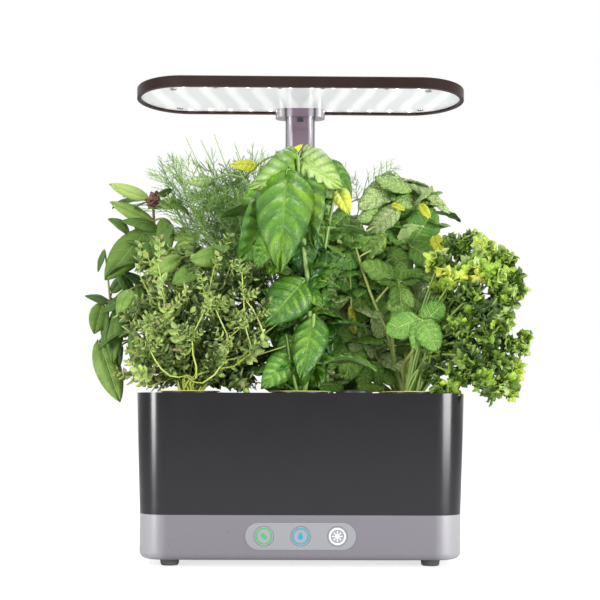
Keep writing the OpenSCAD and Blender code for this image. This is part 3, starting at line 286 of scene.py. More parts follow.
# LED: a warm white die under a clear lens, brighter in its middle
ledLook = {"lens": (255, 244, 238), "pale": (255, 246, 240), "warm": (255, 236, 228),
           "litPale": (255, 250, 246), "litWarm": (255, 238, 230), "glow": 4.0}
led = Finish("ledLens", srgb(*ledLook["lens"]), 0.2)
ledCloud = led.ramp(led.noise(300), 0.3, 0.7)
led.paint(led.mix(ledCloud, srgb(*ledLook["pale"]), srgb(*ledLook["warm"])))
led.glow(led.mix(ledCloud, srgb(*ledLook["litPale"]), srgb(*ledLook["litWarm"])), ledLook["glow"])
finishes["led"] = led

# lit marks on the buttons: material, colour, glow
marks = {"green_mark": ("greenMark", (58, 166, 98), 0.1), "cyan_mark": ("cyanMark", (20, 148, 176), 0.1),
         "white_mark": ("whiteMark", (250, 251, 252), 0.35)}
for slot, (name, colour, strength) in marks.items():
    mark = Finish(name, srgb(*colour), 0.4)
    markColour = mark.mix(mark.ramp(mark.noise(900), 0.3, 0.7), shaded(srgb(*colour), 0.9), srgb(*colour))
    mark.paint(markColour)
    mark.glow(markColour, strength)
    finishes[slot] = mark

# paper label: pale yellow, soft fibres
labelLook = {"paper": (226, 222, 130), "low": (206, 204, 92), "high": (230, 228, 138), "relief": 0.00006}
label = Finish("labelPaper", srgb(*labelLook["paper"]), 0.7)
fibres = label.noise(1400, 5, 0.7)
label.paint(label.mix(label.ramp(fibres, 0.3, 0.7), srgb(*labelLook["low"]), srgb(*labelLook["high"])))
label.bump(fibres, labelLook["relief"], 0.5)
finishes["label_paper"] = label

# growing sponge: brown peat with open pores
spongeLook = {"peat": (92, 64, 42), "pore": (40, 27, 18), "crumb": (112, 80, 52), "scale": 700.0, "relief": 0.0006}
sponge = Finish("growSponge", srgb(*spongeLook["peat"]), 0.95)
pores = sponge.node("ShaderNodeTexVoronoi", Vector=sponge.coords, Scale=spongeLook["scale"]).outputs["Distance"]
sponge.paint(sponge.mix(sponge.ramp(pores, 0.05, 0.5), srgb(*spongeLook["pore"]), srgb(*spongeLook["crumb"])))
sponge.bump(pores, spongeLook["relief"], 0.9)
finishes["sponge"] = sponge

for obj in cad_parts.values():
    for materialSlot in obj.material_slots:
        slotName = materialSlot.material.name.split(".")[0] if materialSlot.material else ""
        if slotName in finishes:
            materialSlot.material = finishes[slotName].material
print("finishes on the carried-over pieces")

# what a leaf has where its herb says nothing else: colours, pattern scales, depths in metres, shares from 0 to 1
usualLeaf = {"light": (182, 208, 132), "yellow": (206, 212, 70), "specular": 0.35, "coat": 0.0,
             "blotch": 90, "blotchy": 0.7, "net": 420.0, "netShare": 0.0, "netDepth": 0.0003, "midrib": 0.035,
             "slant": 5.0, "rim": 0.0, "sideShare": 0.45, "veinShare": 0.6, "veinDepth": 0.0005}

# a leaf's colour goes with its own tone, which turns it pale above 0.95 and yellow above 1.4. The tone also carries
# painted light and shade: low tones darken leaves deep in the plant, and the pale light colour is a painted highlight.
# Its veins follow its map
def leafFinish(name, herbLooks):
    looks = {**usualLeaf, **herbLooks}
    deep, pale = srgb(*looks["deep"]), srgb(*looks["pale"])
    made = Finish(name, pale, looks["rough"], specular=looks["specular"])
    made.shader.inputs["Coat Weight"].default_value = looks["coat"]
    made.shader.inputs["Coat Roughness"].default_value = 0.3
    tone = made.attribute("tone")
    uv = made.node("ShaderNodeSeparateXYZ", Vector=made.node("ShaderNodeUVMap", uv_map="UVMap").outputs[0]).outputs
    across = made.absolute(made.minus(uv[0], 0.5))
    blotch = made.noise(looks["blotch"], 3)
    share = made.plus(tone, made.times(made.minus(blotch, 0.5), looks["blotchy"]), clamp=True)
    level = made.plus(tone, made.times(blotch, 0.4))
    body = made.mix(share, deep, pale)
    # painted highlight: a tone above 0.95 turns the leaf towards the light colour
    body = made.mix(made.ramp(level, 0.95, 1.25), body, srgb(*looks["light"]))
    if "sunlit" in looks:
        body = made.mix(made.ramp(made.noise(26, 2), 0.52, 0.72, 0.0, 0.6), body, srgb(*looks["sunlit"]))
    net = made.node("ShaderNodeTexVoronoi", Vector=made.coords, Scale=looks["net"], feature="DISTANCE_TO_EDGE")
    net = net.outputs["Distance"]
    body = made.mix(made.ramp(net, 0.0, 0.16, looks["netShare"], 0.0), body, deep)
    midrib = made.ramp(across, 0.0, looks["midrib"], 1.0, 0.0)
    side = made.minus(made.times(uv[1], looks["veins"]), made.times(across, looks["slant"]))
    fromVein = made.absolute(made.minus(made.maths("FRACT", side), 0.5))
    if "panel" in looks:
        # painted shade in the creases along the veins, and a painted highlight on the puckered panels between them
        creaseShade = made.times(made.ramp(fromVein, 0.3, 0.05, 0.0, 0.5), made.ramp(across, 0.02, 0.2))
        body = made.mix(creaseShade, body, deep)
        bulgeHighlight = made.times(made.ramp(fromVein, 0.25, 0.5, 0.0, 0.6), made.ramp(made.noise(60), 0.4, 0.65))
        body = made.mix(bulgeHighlight, body, srgb(*looks["panel"]))
    body = made.mix(made.ramp(across, 0.28, 0.5, 0.0, looks["rim"]), body, deep)
    body = made.mix(made.ramp(level, 1.4, 1.6), body, srgb(*looks["yellow"]))
    sideLine = made.times(made.ramp(fromVein, 0.0, 0.1, 1.0, 0.0), made.ramp(across, 0.46, 0.3, 0.0, 1.0))
    lines = made.maths("MAXIMUM", midrib, made.times(sideLine, looks["sideShare"]), clamp=True)
    made.paint(made.mix(made.times(lines, looks["veinShare"]), body, srgb(*looks["vein"])))
    made.bump(made.ramp(net, 0.0, 0.22), looks["netDepth"], 0.6)
    made.bump(made.times(lines, -1.0), looks["veinDepth"], 0.7)
    return made

def stemFinish(name, low, high, rough=0.45):
    made = Finish(name, srgb(*low), rough)
    streak = made.noise(1.0, 3, coords=made.stretched((500, 500, 30)))
    share = made.plus(made.attribute("tone"), made.times(made.minus(streak, 0.5), 0.8), clamp=True)
    made.paint(made.mix(share, srgb(*low), srgb(*high)))
    made.bump(streak, 0.0002, 0.5)
    return made

def linkPiece(obj):
    bpy.context.scene.collection.objects.link(obj)

def unlinkPiece(obj):
    bpy.context.scene.collection.objects.unlink(obj)

def deselect():
    bpy.ops.object.select_all(action="DESELECT")

def coordsOf(mesh):
    co = np.zeros(len(mesh.vertices) * 3, np.float32)
    mesh.vertices.foreach_get("co", co)
    return co.reshape(-1, 3)

def setCoords(mesh, co):
    mesh.vertices.foreach_set("co", np.ascontiguousarray(co, dtype=np.float32).ravel())
    mesh.update()

def setTone(mesh, value):
    tone = mesh.attributes.get("tone") or mesh.attributes.new("tone", "FLOAT", "POINT")
    tone.data.foreach_set("value", np.full(len(mesh.vertices), value, np.float32))

def applyAll(obj):
    deselect()
    obj.select_set(True)
    bpy.context.view_layer.objects.active = obj
    for modifier in list(obj.modifiers):
        bpy.ops.object.modifier_apply(modifier=modifier.name)

def smoothAll(obj):
    for polygon in obj.data.polygons:
        polygon.use_smooth = True

# a flat sheet gets its thickness, its upper and under side their own finish
def thickenSheet(sheet, thickness, materials):
    smoothAll(sheet)
    thick = sheet.modifiers.new("thick", "SOLIDIFY")
    thick.thickness = thickness
    thick.offset = 0
    thick.material_offset = 1
    for material in materials:
        sheet.data.materials.append(material.material)
    applyAll(sheet)

# a leaf one unit long lying along +X, its face up: drawn as a flat sheet, then shaped and given its thickness
def makeLeaf(name, shape, materials):
    deselect()
    across, along = shape["across"], shape["along"]
    bpy.ops.mesh.primitive_grid_add(x_subdivisions=across, y_subdivisions=along, size=1, calc_uvs=True)
    leaf = bpy.context.object
    leaf.name = name
    co = coordsOf(leaf.data)
    c, s = co[:, 0] * 2, co[:, 1] + 0.5      # c from edge to edge, s from foot to tip
    a, b = shape["foot"], shape["tip"]
    widest = a / (a + b)
    peak = widest ** a * (1 - widest) ** b
    width = np.maximum(np.power(np.clip(s, 0, 1), a) * np.power(np.clip(1 - s, 0, 1), b) / peak, 0.03)
    edge = np.abs(c)
    width = width * (1 + shape.get("teethSize", 0) * np.sin(2 * np.pi * shape.get("teeth", 0) * s) * edge ** 3)
    vein = np.cos(2 * np.pi * (shape.get("veins", 6) * s - shape.get("slant", 1.4) * edge))
    pucker = shape.get("pucker", 0) * vein * np.sin(np.pi * edge)
    ruffle = shape.get("ruffle", 0) * edge ** 2 * np.sin(2 * np.pi * shape.get("waves", 3) * s + 1.5 * np.sign(c))
    cup = shape.get("cup", 0) * (edge ** 2 * width)
    groove = -shape.get("groove", 0.0) * (1 - edge) ** 4
    setCoords(leaf.data, np.stack([s - 0.05 * edge * (1 - s), -c * width / 2, pucker + ruffle + cup + groove], 1))
    thickenSheet(leaf, shape["thick"], materials)
    if leaf.data.polygons[0].normal.z < 0:
        leaf.data.flip_normals()
    unlinkPiece(leaf)
    return leaf

# a copy of a leaf from foot to tip: bent along its length, folded along its midrib, and turned to face a way
def placeLeaf(source, foot, tip, width, facing, bend=0.6, fold=0.0, twist=0.0, tone=0.5):
    mesh = source.data.copy()
    co = coordsOf(mesh).astype(np.float64)
    reach = (tip - foot).length
    bend = bend if abs(bend) > 0.02 else 0.02
    s = co[:, 0]
    y = co[:, 1] * (width / reach)
    z = co[:, 2] + fold * np.abs(y)
    angle = bend * s
    x = np.sin(angle) / bend + z * np.sin(angle)
    z = -(1 - np.cos(angle)) / bend + z * np.cos(angle)
    spin = twist * s
    y, z = y * np.cos(spin) - z * np.sin(spin) * 0.2, z + y * np.sin(spin)
    chord = Vector((math.sin(bend) / bend, 0, -(1 - math.cos(bend)) / bend))
    scale = reach / chord.length
    d = (tip - foot).normalized()
    n = facing - d * facing.dot(d)
    if n.length < 0.05:
        n = Vector((0, 0, 1)) - d * d.z
    n.normalize()
    side = n.cross(d)
    e = chord.normalized()
    alongChord = x * e.x + z * e.z
    offChord = -x * e.z + z * e.x
    world = (np.outer(alongChord, d) + np.outer(offChord, n) + np.outer(y, side)) * scale + np.array(foot)
    setCoords(mesh, world)
    setTone(mesh, tone)
    piece = bpy.data.objects.new(source.name, mesh)
    linkPiece(piece)
    return piece

# a copy of a small made-up sprig, turned and sized as it is
def placeSprig(source, foot, direction, size, roll, tone=0.5, bend=0.0):
    mesh = source.data.copy()
    co = coordsOf(mesh).astype(np.float64)
    if bend:
        s = co[:, 0]
        co[:, 2] -= bend * s * s
    d = direction.normalized()
    helper = Vector((0, 0, 1)) if abs(d.z) < 0.95 else Vector((0, 1, 0))
    side = helper.cross(d).normalized()
    n = d.cross(side)
    turn = Matrix.Rotation(roll, 3, d)
    side, n = turn @ side, turn @ n
    world = (np.outer(co[:, 0], d) + np.outer(co[:, 1], side) + np.outer(co[:, 2], n)) * size + np.array(foot)
    setCoords(mesh, world)
    old = mesh.attributes.get("tone")
    if old is None:
        setTone(mesh, tone)
    else:
        values = np.zeros(len(mesh.vertices), np.float32)
        old.data.foreach_get("value", values)
        old.data.foreach_set("value", np.clip(values + tone - 0.5, 0, 1.3).astype(np.float32))
    piece = bpy.data.objects.new(source.name, mesh)
    linkPiece(piece)
    return piece

# round stems through points, thinner towards the end
def drawStems(name, paths, material, tone=0.5, sides=1, steps=5):
    curve = bpy.data.curves.new(name, "CURVE")
    curve.dimensions = "3D"
    curve.bevel_depth = mm
    curve.bevel_resolution = sides
    curve.resolution_u = steps
    curve.use_fill_caps = True
    for points, thick, thin in paths:
        spline = curve.splines.new("BEZIER")
        spline.bezier_points.add(len(points) - 1)
        for k, (knot, place) in enumerate(zip(spline.bezier_points, points)):
            knot.co = place
            knot.handle_left_type = knot.handle_right_type = "AUTO"
            knot.radius = thick + (thin - thick) * k / (len(points) - 1)
    stems = bpy.data.objects.new(name, curve)
    linkPiece(stems)
    deselect()
    stems.select_set(True)
    bpy.context.view_layer.objects.active = stems
    bpy.ops.object.convert(target="MESH")
    stems = bpy.context.object
    stems.data.materials.clear()
    stems.data.materials.append(material.material)
    smoothAll(stems)
    if not stems.data.uv_layers:
        stems.data.uv_layers.new(name="UVMap")
    setTone(stems.data, tone)
    return stems

def joinPieces(name, pieces):
    deselect()
    for piece in pieces:
        piece.select_set(True)
    bpy.context.view_layer.objects.active = pieces[0]
    bpy.ops.object.join()
    joined = bpy.context.object
    joined.name = name
    return joined

def onPath(points, t):
    t = min(max(t, 0.0), 0.9999) * (len(points) - 1)
    k = int(t)
    return points[k].lerp(points[k + 1], t - k)

# the place on the stems that a leaf's stalk grows from: near its foot and rather below it
def growsFrom(stems, foot):
    best, found = 1e9, None
    for stem in stems:
        for k in range(25):
            q = onPath(stem[0], 0.12 + 0.88 * k / 24)
            cost = (q - foot).length + 0.6 * max(0, q.z - foot.z)
            if cost < best:
                best, found = cost, q
    return found

def stalk(stems, foot, lead, thick=0.9):
    start = growsFrom(stems, foot)
    middle = start.lerp(foot, 0.55) + Vector((0, 0, 0.12)) * (foot - start).length
    return ([start, middle, foot, foot + lead * 0.05], thick, thick * 0.7)

# mm that the leaves keep clear: the open flap, the mast, the bowl's wall, and where the herbs' space ends
keepClear = {"flapX": (26, 58), "flapY": (-47, -7), "flapTop": 166, "mastHalf": 18, "mastFront": 45,
             "bowlHalf": (126, 80), "bowlTop": 130.4, "farX": 190, "farY": 96, "lowest": 118, "highest": 345}

def isClear(p, margin=1.0):
    x, y, z = p.x / mm, p.y / mm, p.z / mm
    left, right = keepClear["flapX"]
    front, back = keepClear["flapY"]
    if left - margin < x < right + margin and front - margin < y < back + margin and z < keepClear["flapTop"]:
        return False
    if abs(x) < keepClear["mastHalf"] + margin and y > keepClear["mastFront"] - margin:
        return False
    if z < keepClear["bowlTop"] and abs(x) < keepClear["bowlHalf"][0] and abs(y) < keepClear["bowlHalf"][1]:
        return False
    return abs(x) < keepClear["farX"] and abs(y) < keepClear["farY"] and keepClear["lowest"] < z < keepClear["highest"]

# middles of the six pods on the deck, in mm
podPlaces = {"thyme": (-84, -38), "basil": (0, -38), "parsley": (84, -38),
             "thai": (-84, 20), "dill": (0, 20), "mint": (84, 20)}
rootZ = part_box("sponges")[1].z

def podPoint(name, dx=0, dy=0, dz=-2):
    x, y = podPlaces[name]
    return Vector(((x + dx) * mm, (y + dy) * mm, rootZ + dz * mm))

towardCamera = Vector((0, -1, 0.28))

def randomVector(rng, *ranges):
    return Vector([rng.uniform(low, high) for low, high in ranges])

# leaves listed by their place in the picture: foot px, tip px, width px, depth of foot and tip, turn, bend, fold, tone,
# which also carries each leaf's painted light and shade
def heroLeaves(source, stems, leaves, stalks):
    made = []
    for footPx, tipPx, widthPx, footY, tipY, turn, bend, fold, tone in leaves:
        foot, tip = at(*footPx, footY), at(*tipPx, tipY)
        facing = Matrix.Rotation(math.radians(turn), 3, (tip - foot).normalized()) @ towardCamera
        width = widthPx * (footY - cameraSetup["place"][1]) / focalPixels * mm
        made.append(placeLeaf(source, foot, tip, width, facing, bend, fold, 0.0, tone))
        stalks.append(stalk(stems, foot, tip - foot))
    return made

# pairs of leaves up a stem, each pair turned a quarter from the one below
def dressStem(source, path, pairs, start, looks, rng, stalks):
    made = []
    points = path[0]
    for k in range(pairs):
        foot = onPath(points, start + (looks["end"] - start) * k / max(1, pairs - 1))
        size = looks["length"] * (1 - looks["taper"] * k / pairs) * rng.uniform(0.8, 1.15)
        turn = math.radians(90 * (k % 2) + rng.uniform(-25, 25))
        for side in (0, 1):
            angle = turn + math.pi * side + rng.uniform(-0.3, 0.3)
            rise = looks["rise"] + rng.uniform(-0.25, 0.25)
            out = Vector((math.cos(angle), math.sin(angle), rise)).normalized()
            base = foot + out * (size * looks["stalk"]) * mm
            tip = base + (out - Vector((0, 0, looks["droop"]))).normalized() * size * mm
            if not (isClear(tip) and isClear(base.lerp(tip, 0.5), 4)):
                continue
            facing = Vector((0, 0, 1)) + out * 0.35 + Vector((rng.uniform(-0.3, 0.3), rng.uniform(-0.3, 0.3), 0))
            made.append(placeLeaf(source, base, tip, size * looks["ratio"] * mm * rng.uniform(0.85, 1.1), facing,
                                  looks["bend"] + rng.uniform(-0.3, 0.4), looks["fold"] * rng.uniform(0.5, 1.3),
                                  rng.uniform(-0.4, 0.4), looks["tone"] + rng.uniform(-0.35, 0.35)))
            stalks.append(([foot, foot.lerp(base, 0.6), base + (tip - base) * 0.05], 0.7, 0.49))
    return made

# leaves that fill a patch of the picture: its middle px, half width and height px, how many leaves, the nearest and
# the farthest depth, tone, which also paints the patch's light and shade, low for deep ones
def cloudLeaves(source, stems, patches, looks, rng, stalks):
    made = []
    for cx, cy, rx, ry, count, near, far, tone in patches:
        for k in range(count):
            radius, turn = math.sqrt(rng.random()), rng.uniform(0, 2 * math.pi)
            depth = rng.uniform(near, far)
            middle = at(cx + rx * radius * math.cos(turn), cy + ry * radius * math.sin(turn), depth)
            size = looks["length"] * rng.uniform(0.7, 1.2)
            way = randomVector(rng, (-1, 1), (-0.7, 0.5), (-1.0, 0.35)).normalized()
            foot, tip = middle - way * size * 0.5 * mm, middle + way * size * 0.5 * mm
            if not (isClear(middle, 4) and isClear(tip) and isClear(foot)):
                continue
            facing = Vector((rng.uniform(-0.6, 0.6), -0.8 if depth < 38 else 0.8, rng.uniform(0.2, 1.2)))
            made.append(placeLeaf(source, foot, tip, size * looks["ratio"] * mm * rng.uniform(0.85, 1.1), facing,
                                  rng.uniform(0.2, 1.1), rng.uniform(0.05, 0.4), rng.uniform(-0.4, 0.4),
                                  min(1.15, tone + looks["spread"] * rng.uniform(-0.35, 0.4))))
            if k % 2 == 0:
                stalks.append(stalk(stems, foot, tip - foot, 0.7))
    return made

# a herb with broad leaves: the listed ones first, then pairs up some stems, then what fills the patches between
def growLeaves(herb, source, rng):
    stalks = []
    parts = heroLeaves(source, herb["stems"], herb["leaves"], stalks)
    for stem, pairs, start in herb["pairs"]:
        parts += dressStem(source, herb["stems"][stem], pairs, start, herb["paired"], rng, stalks)
    parts += cloudLeaves(source, herb["stems"], herb["patches"], herb["filling"], rng, stalks)
    return parts, stalks

def countOf(piece):
    return sum(len(polygon.vertices) - 2 for polygon in piece.data.polygons)

# Each broad-leaved herb below lists its stems (points, thick, thin), its leaves as heroLeaves takes them, the stems
# that carry pairs (which one, how many pairs, from where), and the patches as cloudLeaves takes them

# Genovese basil: large puckered leaves that arch over and hang
basil = {
    "seed": 11,
    "leaf": {"across": 12, "along": 20, "foot": 0.5, "tip": 0.92, "thick": 0.008, "pucker": 0.03, "veins": 6,
             "slant": 1.3, "cup": -0.16, "groove": 0.035, "ruffle": 0.012, "waves": 3},
    "top": {"deep": (34, 84, 24), "pale": (104, 158, 44), "vein": (170, 208, 104), "light": (196, 216, 150),
            "sunlit": (158, 192, 44), "panel": (150, 196, 60), "yellow": (214, 222, 62), "rough": 0.33, "coat": 0.12,
            "veins": 6.0, "slant": 2.6, "net": 260.0, "blotch": 45, "blotchy": 1.0, "veinDepth": 0.0011,
            "sideShare": 0.3, "veinShare": 0.45, "rim": 0.55},
    "under": {"deep": (104, 148, 70), "pale": (160, 196, 112), "vein": (198, 222, 150), "rough": 0.6,
              "veins": 6.0, "slant": 2.6, "veinDepth": -0.0006, "blotch": 50},
    "stem": ((96, 140, 62), (170, 200, 110)),
    "stems": [
        ([podPoint("basil"), at(309, 330, -44), at(303, 230, -46), at(298, 160, -48)], 2.4, 1.5),
        ([podPoint("basil", -2, 2), at(296, 330, -34), at(282, 250, -34), at(262, 205, -44)], 2.0, 1.2),
        ([podPoint("basil", 2, 3), at(314, 330, -26), at(326, 240, -22), at(340, 168, -30)], 2.0, 1.2),
        ([podPoint("basil", 2, -3), at(309, 370, -50), at(313, 345, -56), at(314, 314, -54)], 1.9, 1.3),
        ([podPoint("basil", -2, -3), at(294, 380, -50), at(291, 368, -54), at(289, 352, -54)], 1.5, 1.0),
        ([podPoint("basil", -3, 4), at(292, 300, -20), at(268, 220, -12), at(240, 172, -10)], 1.7, 0.9)],
    "leaves": [
        ((287, 170), (280, 273), 56, -54, -86, 4, 0.75, 0.3, 0.58),
        ((298, 168), (315, 247), 46, -44, -60, 30, 0.7, 0.25, 0.28),      # the great front leaf, with the one above
        ((298, 158), (248, 188), 34, -44, -60, -50, 1.3, 0.3, 0.85),
        ((296, 152), (262, 168), 20, -40, -46, -60, 1.1, 0.3, 0.9),
        ((300, 158), (343, 188), 36, -44, -54, 30, 1.3, 0.3, 1.0),
        ((302, 152), (326, 162), 22, -38, -44, 50, 1.1, 0.3, 1.0),
        ((331, 160), (351, 199), 22, -36, -40, -30, 0.7, 0.5, 0.42),
        ((266, 208), (238, 262), 44, -40, -52, -34, 1.5, 0.7, 0.72),
        ((262, 214), (262, 264), 30, -32, -34, 48, 0.7, 0.4, 0.05),
        ((268, 238), (256, 268), 24, -50, -56, -16, 0.7, 0.3, 0.66),
        ((338, 190), (350, 215), 17, -42, -48, 12, 1.3, 0.5, 1.35),
        ((304, 281), (265, 326), 44, -52, -64, -8, 0.7, 0.2, 0.36),
        ((291, 153), (303, 144), 7, -8, -8, 0, 0.3, 0.3, 1.6),
        ((314, 318), (301, 381), 36, -54, -66, 10, 0.5, 0.25, 0.42),
        ((290, 356), (261, 389), 30, -54, -66, -22, 0.7, 0.3, 0.6),
        ((257, 165), (229, 165), 13, -12, -12, 0, 0.8, 0.2, 1.4),
        ((212, 180), (184, 182), 13, -4, 0, 0, 0.6, 0.2, 1.15),
        ((270, 190), (254, 205), 18, -46, -50, 30, 0.9, 0.4, 0.3),
        ((309, 205), (330, 226), 22, -40, -46, 30, 0.6, 0.3, 0.1),
        ((306, 236), (298, 262), 20, -36, -44, 10, 0.6, 0.3, 0.1),
        ((282, 300), (262, 290), 20, -40, -44, 20, 0.6, 0.3, 0.25),
        ((318, 262), (322, 300), 22, -34, -38, 10, 0.6, 0.3, 0.15),
        ((286, 335), (290, 362), 22, -48, -52, 20, 0.6, 0.3, 0.3)],
    "pairs": [(1, 3, 0.4), (2, 3, 0.35), (5, 3, 0.35), (3, 2, 0.4)],
    "paired": {"end": 0.72, "length": 40, "ratio": 0.62, "taper": 0.3, "rise": 0.2, "droop": 0.4, "bend": 0.9,
               "fold": 0.3, "tone": 0.3, "stalk": 0.25},
    "patches": [(298, 245, 34, 60, 26, -42, -14, 0.12), (300, 330, 36, 50, 26, -50, -14, 0.1),
                (298, 377, 26, 10, 16, -34, -14, 0.12), (290, 185, 30, 20, 8, -46, -20, 0.5)],
    "filling": {"length": 36, "ratio": 0.62, "spread": 1.0}}
basilTop = leafFinish("basilLeaf", basil["top"])
basilUnder = leafFinish("basilUnder", basil["under"])
basilStem = stemFinish("basilStem", *basil["stem"])
basilSource = makeLeaf("basilSource", basil["leaf"], [basilTop, basilUnder])
parts, stalks = growLeaves(basil, basilSource, random.Random(basil["seed"]))
basilPiece = joinPieces("genovese_basil_plant", [drawStems("basilStems", basil["stems"] + stalks, basilStem)] + parts)
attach(basilPiece, "deck")
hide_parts("genovese_basil")
print("genovese basil:", len(parts), "leaves", countOf(basilPiece), "triangles")

# Thai basil: narrower toothed leaves on dark stems, with a purple flower head of small cups in whorls
thai = {
    "seed": 23,
    "leaf": {"across": 8, "along": 16, "foot": 0.6, "tip": 0.8, "thick": 0.012, "pucker": 0.006, "veins": 6,
             "slant": 1.2, "cup": -0.12, "groove": 0.03, "ruffle": 0.01, "waves": 2, "teeth": 8, "teethSize": 0.05},
    "top": {"deep": (50, 86, 28), "pale": (116, 150, 60), "vein": (158, 186, 100), "light": (164, 190, 104),
            "yellow": (190, 206, 84), "rough": 0.5, "veins": 6.0, "slant": 2.6, "netDepth": 0.00012, "blotch": 80},
    "under": {"deep": (96, 126, 66), "pale": (158, 180, 116), "vein": (180, 190, 150), "rough": 0.6,
              "veins": 6.0, "slant": 2.6, "veinDepth": -0.0005},
    "stem": ((92, 62, 46), (150, 160, 86)),
    "stems": [
        ([podPoint("thai"), at(158, 330, 22), at(156, 260, 24), at(153, 202, 24)], 1.9, 1.1),
        ([podPoint("thai", -3, 2), at(150, 350, 26), at(128, 325, 28), at(110, 300, 26)], 1.8, 1.0),
        ([podPoint("thai", -2, -3), at(170, 345, 8), at(162, 300, 4), at(150, 262, 2)], 1.6, 1.0),
        ([podPoint("thai", 3, 3), at(196, 340, 22), at(212, 290, -8), at(220, 252, -40)], 1.6, 0.9),
        ([podPoint("thai", 0, 6), point(-100, 44, 190), point(-116, 58, 236)], 1.7, 0.9),
        ([podPoint("thai", 4, 6), point(-72, 46, 190), point(-66, 60, 232)], 1.6, 0.9),
        ([podPoint("thai", -5, 4), point(-122, 40, 160), point(-142, 56, 184)], 1.5, 0.9)],
    "leaves": [
        ((147, 198), (109, 184), 13, 22, 16, -30, 0.9, 0.3, 1.05),
        ((152, 221), (110, 202), 17, 24, 16, 10, 0.5, 0.25, 0.8),
        ((128, 233), (108, 219), 12, 20, 16, 25, 1.2, 0.5, 0.3),
        ((146, 231), (105, 280), 31, 22, 8, -12, 0.6, 0.15, 0.66),
        ((104, 250), (98, 272), 8, 14, 12, 30, 0.5, 0.4, 0.2),
        ((146, 231), (157, 250), 14, 22, 18, 10, 0.6, 0.3, 0.4),
        ((163, 219), (167, 257), 20, 22, 12, 12, 0.5, 0.25, 0.55),
        ((148, 202), (134, 209), 7, 22, 18, 50, 0.6, 0.5, 0.05),
        ((159, 195), (172, 189), 8, 22, 22, 50, 0.6, 0.5, 0.1),
        ((160, 205), (183, 201), 12, 20, 14, 40, 0.5, 0.4, 0.6),
        ((131, 287), (118, 318), 16, 22, 10, -10, 0.6, 0.3, 0.85),
        ((110, 303), (85, 296), 11, 26, 22, 24, 0.7, 0.4, 0.15),
        ((102, 304), (94, 334), 19, 24, 16, -20, 0.6, 0.2, 0.75),
        ((106, 307), (104, 348), 13, 24, 18, 46, 0.5, 0.4, 0.3),
        ((116, 310), (113, 364), 19, 22, 12, 14, 0.5, 0.3, 0.5),
        ((99, 342), (120, 402), 26, 24, 14, -6, 0.35, 0.1, 0.8),
        ((121, 346), (116, 378), 12, 28, 26, 40, 0.6, 0.4, 0.05),
        ((132, 333), (151, 388), 20, 6, 0, 10, 0.5, 0.3, 0.5),
        ((222, 254), (190, 260), 20, -44, -58, -40, 0.9, 0.3, 0.75),
        ((181, 258), (148, 274), 16, -40, -52, -30, 0.9, 0.3, 0.8),
        ((198, 268), (172, 284), 18, -38, -50, -10, 0.7, 0.3, 0.7),
        ((130, 290), (120, 312), 17, -40, -54, 10, 0.7, 0.3, 0.8),
        ((112, 292), (128, 272), 12, 26, 24, 30, 0.6, 0.4, 0.3)],
    "pairs": [(0, 3, 0.35), (2, 3, 0.4), (3, 2, 0.4), (4, 5, 0.35), (5, 4, 0.35), (6, 4, 0.35)],
    "paired": {"end": 1.0, "length": 36, "ratio": 0.44, "taper": 0.35, "rise": 0.2, "droop": 0.5, "bend": 0.8,
               "fold": 0.3, "tone": 0.5, "stalk": 0.3},
    "patches": [(205, 290, 58, 30, 34, 2, 34, 0.06), (205, 352, 62, 26, 34, 2, 34, 0.02),
                (150, 250, 18, 30, 8, 10, 30, 0.45), (140, 300, 22, 30, 12, 10, 34, 0.3),
                (176, 250, 30, 16, 10, 0, 20, 0.7)],
    "filling": {"length": 32, "ratio": 0.45, "spread": 1.0},
    "flower": {"foot": (154, 208, 24), "whorls": 5, "cups": 6, "rise": 2.8, "size": (3.4, 7.0),
               "colours": ((110, 66, 62), (74, 40, 46), (146, 104, 82))}}
thaiTop = leafFinish("thaiLeaf", thai["top"])
thaiUnder = leafFinish("thaiUnder", thai["under"])
thaiStem = stemFinish("thaiStem", *thai["stem"])
thaiSource = makeLeaf("thaiSource", thai["leaf"], [thaiTop, thaiUnder])
rng = random.Random(thai["seed"])
parts, stalks = growLeaves(thai, thaiSource, rng)

def makeFlowerCup(colours):
    deselect()
    bpy.ops.mesh.primitive_cone_add(vertices=7, radius1=0.18, radius2=0.5, depth=1, location=(0.5, 0, 0),
                                    rotation=(0, math.pi / 2, 0))
    cup = bpy.context.object
    bpy.ops.object.transform_apply(location=True, rotation=True, scale=True)
    finish = Finish("flowerCups", srgb(*colours[0]), 0.6)
    finish.paint(finish.mix(finish.ramp(finish.noise(500), 0.35, 0.65), srgb(*colours[1]), srgb(*colours[2])))
    finish.bump(finish.noise(1500), 0.0003, 0.7)
    cup.data.materials.append(finish.material)
    unlinkPiece(cup)
    return cup

flower = thai["flower"]
flowerCup = makeFlowerCup(flower["colours"])
for whorl in range(flower["whorls"]):
    for k in range(flower["cups"]):
        angle = 2 * math.pi * k / flower["cups"] + whorl * 0.5 + rng.uniform(-0.3, 0.3)
        out = Vector((math.cos(angle), math.sin(angle), rng.uniform(0.1, 1.0)))
        height = (flower["rise"] * whorl + rng.uniform(-1, 1)) * mm
        foot = at(*flower["foot"]) + Vector((0, 0, height)) + out * 0.8 * mm
        size = rng.uniform(*flower["size"]) * (1 - 0.1 * whorl) * mm
        parts.append(placeSprig(flowerCup, foot, out, size, rng.uniform(0, 6)))
thaiStems = [drawStems("thaiStems", thai["stems"][:2], thaiStem, 0.1),
             drawStems("thaiStalks", thai["stems"][2:] + stalks, thaiStem, 0.75)]
thaiPiece = joinPieces("thai_basil_plant", thaiStems + parts)
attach(thaiPiece, "deck")
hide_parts("thai_basil")
print("thai basil:", len(parts), "leaves and cups", countOf(thaiPiece), "triangles")

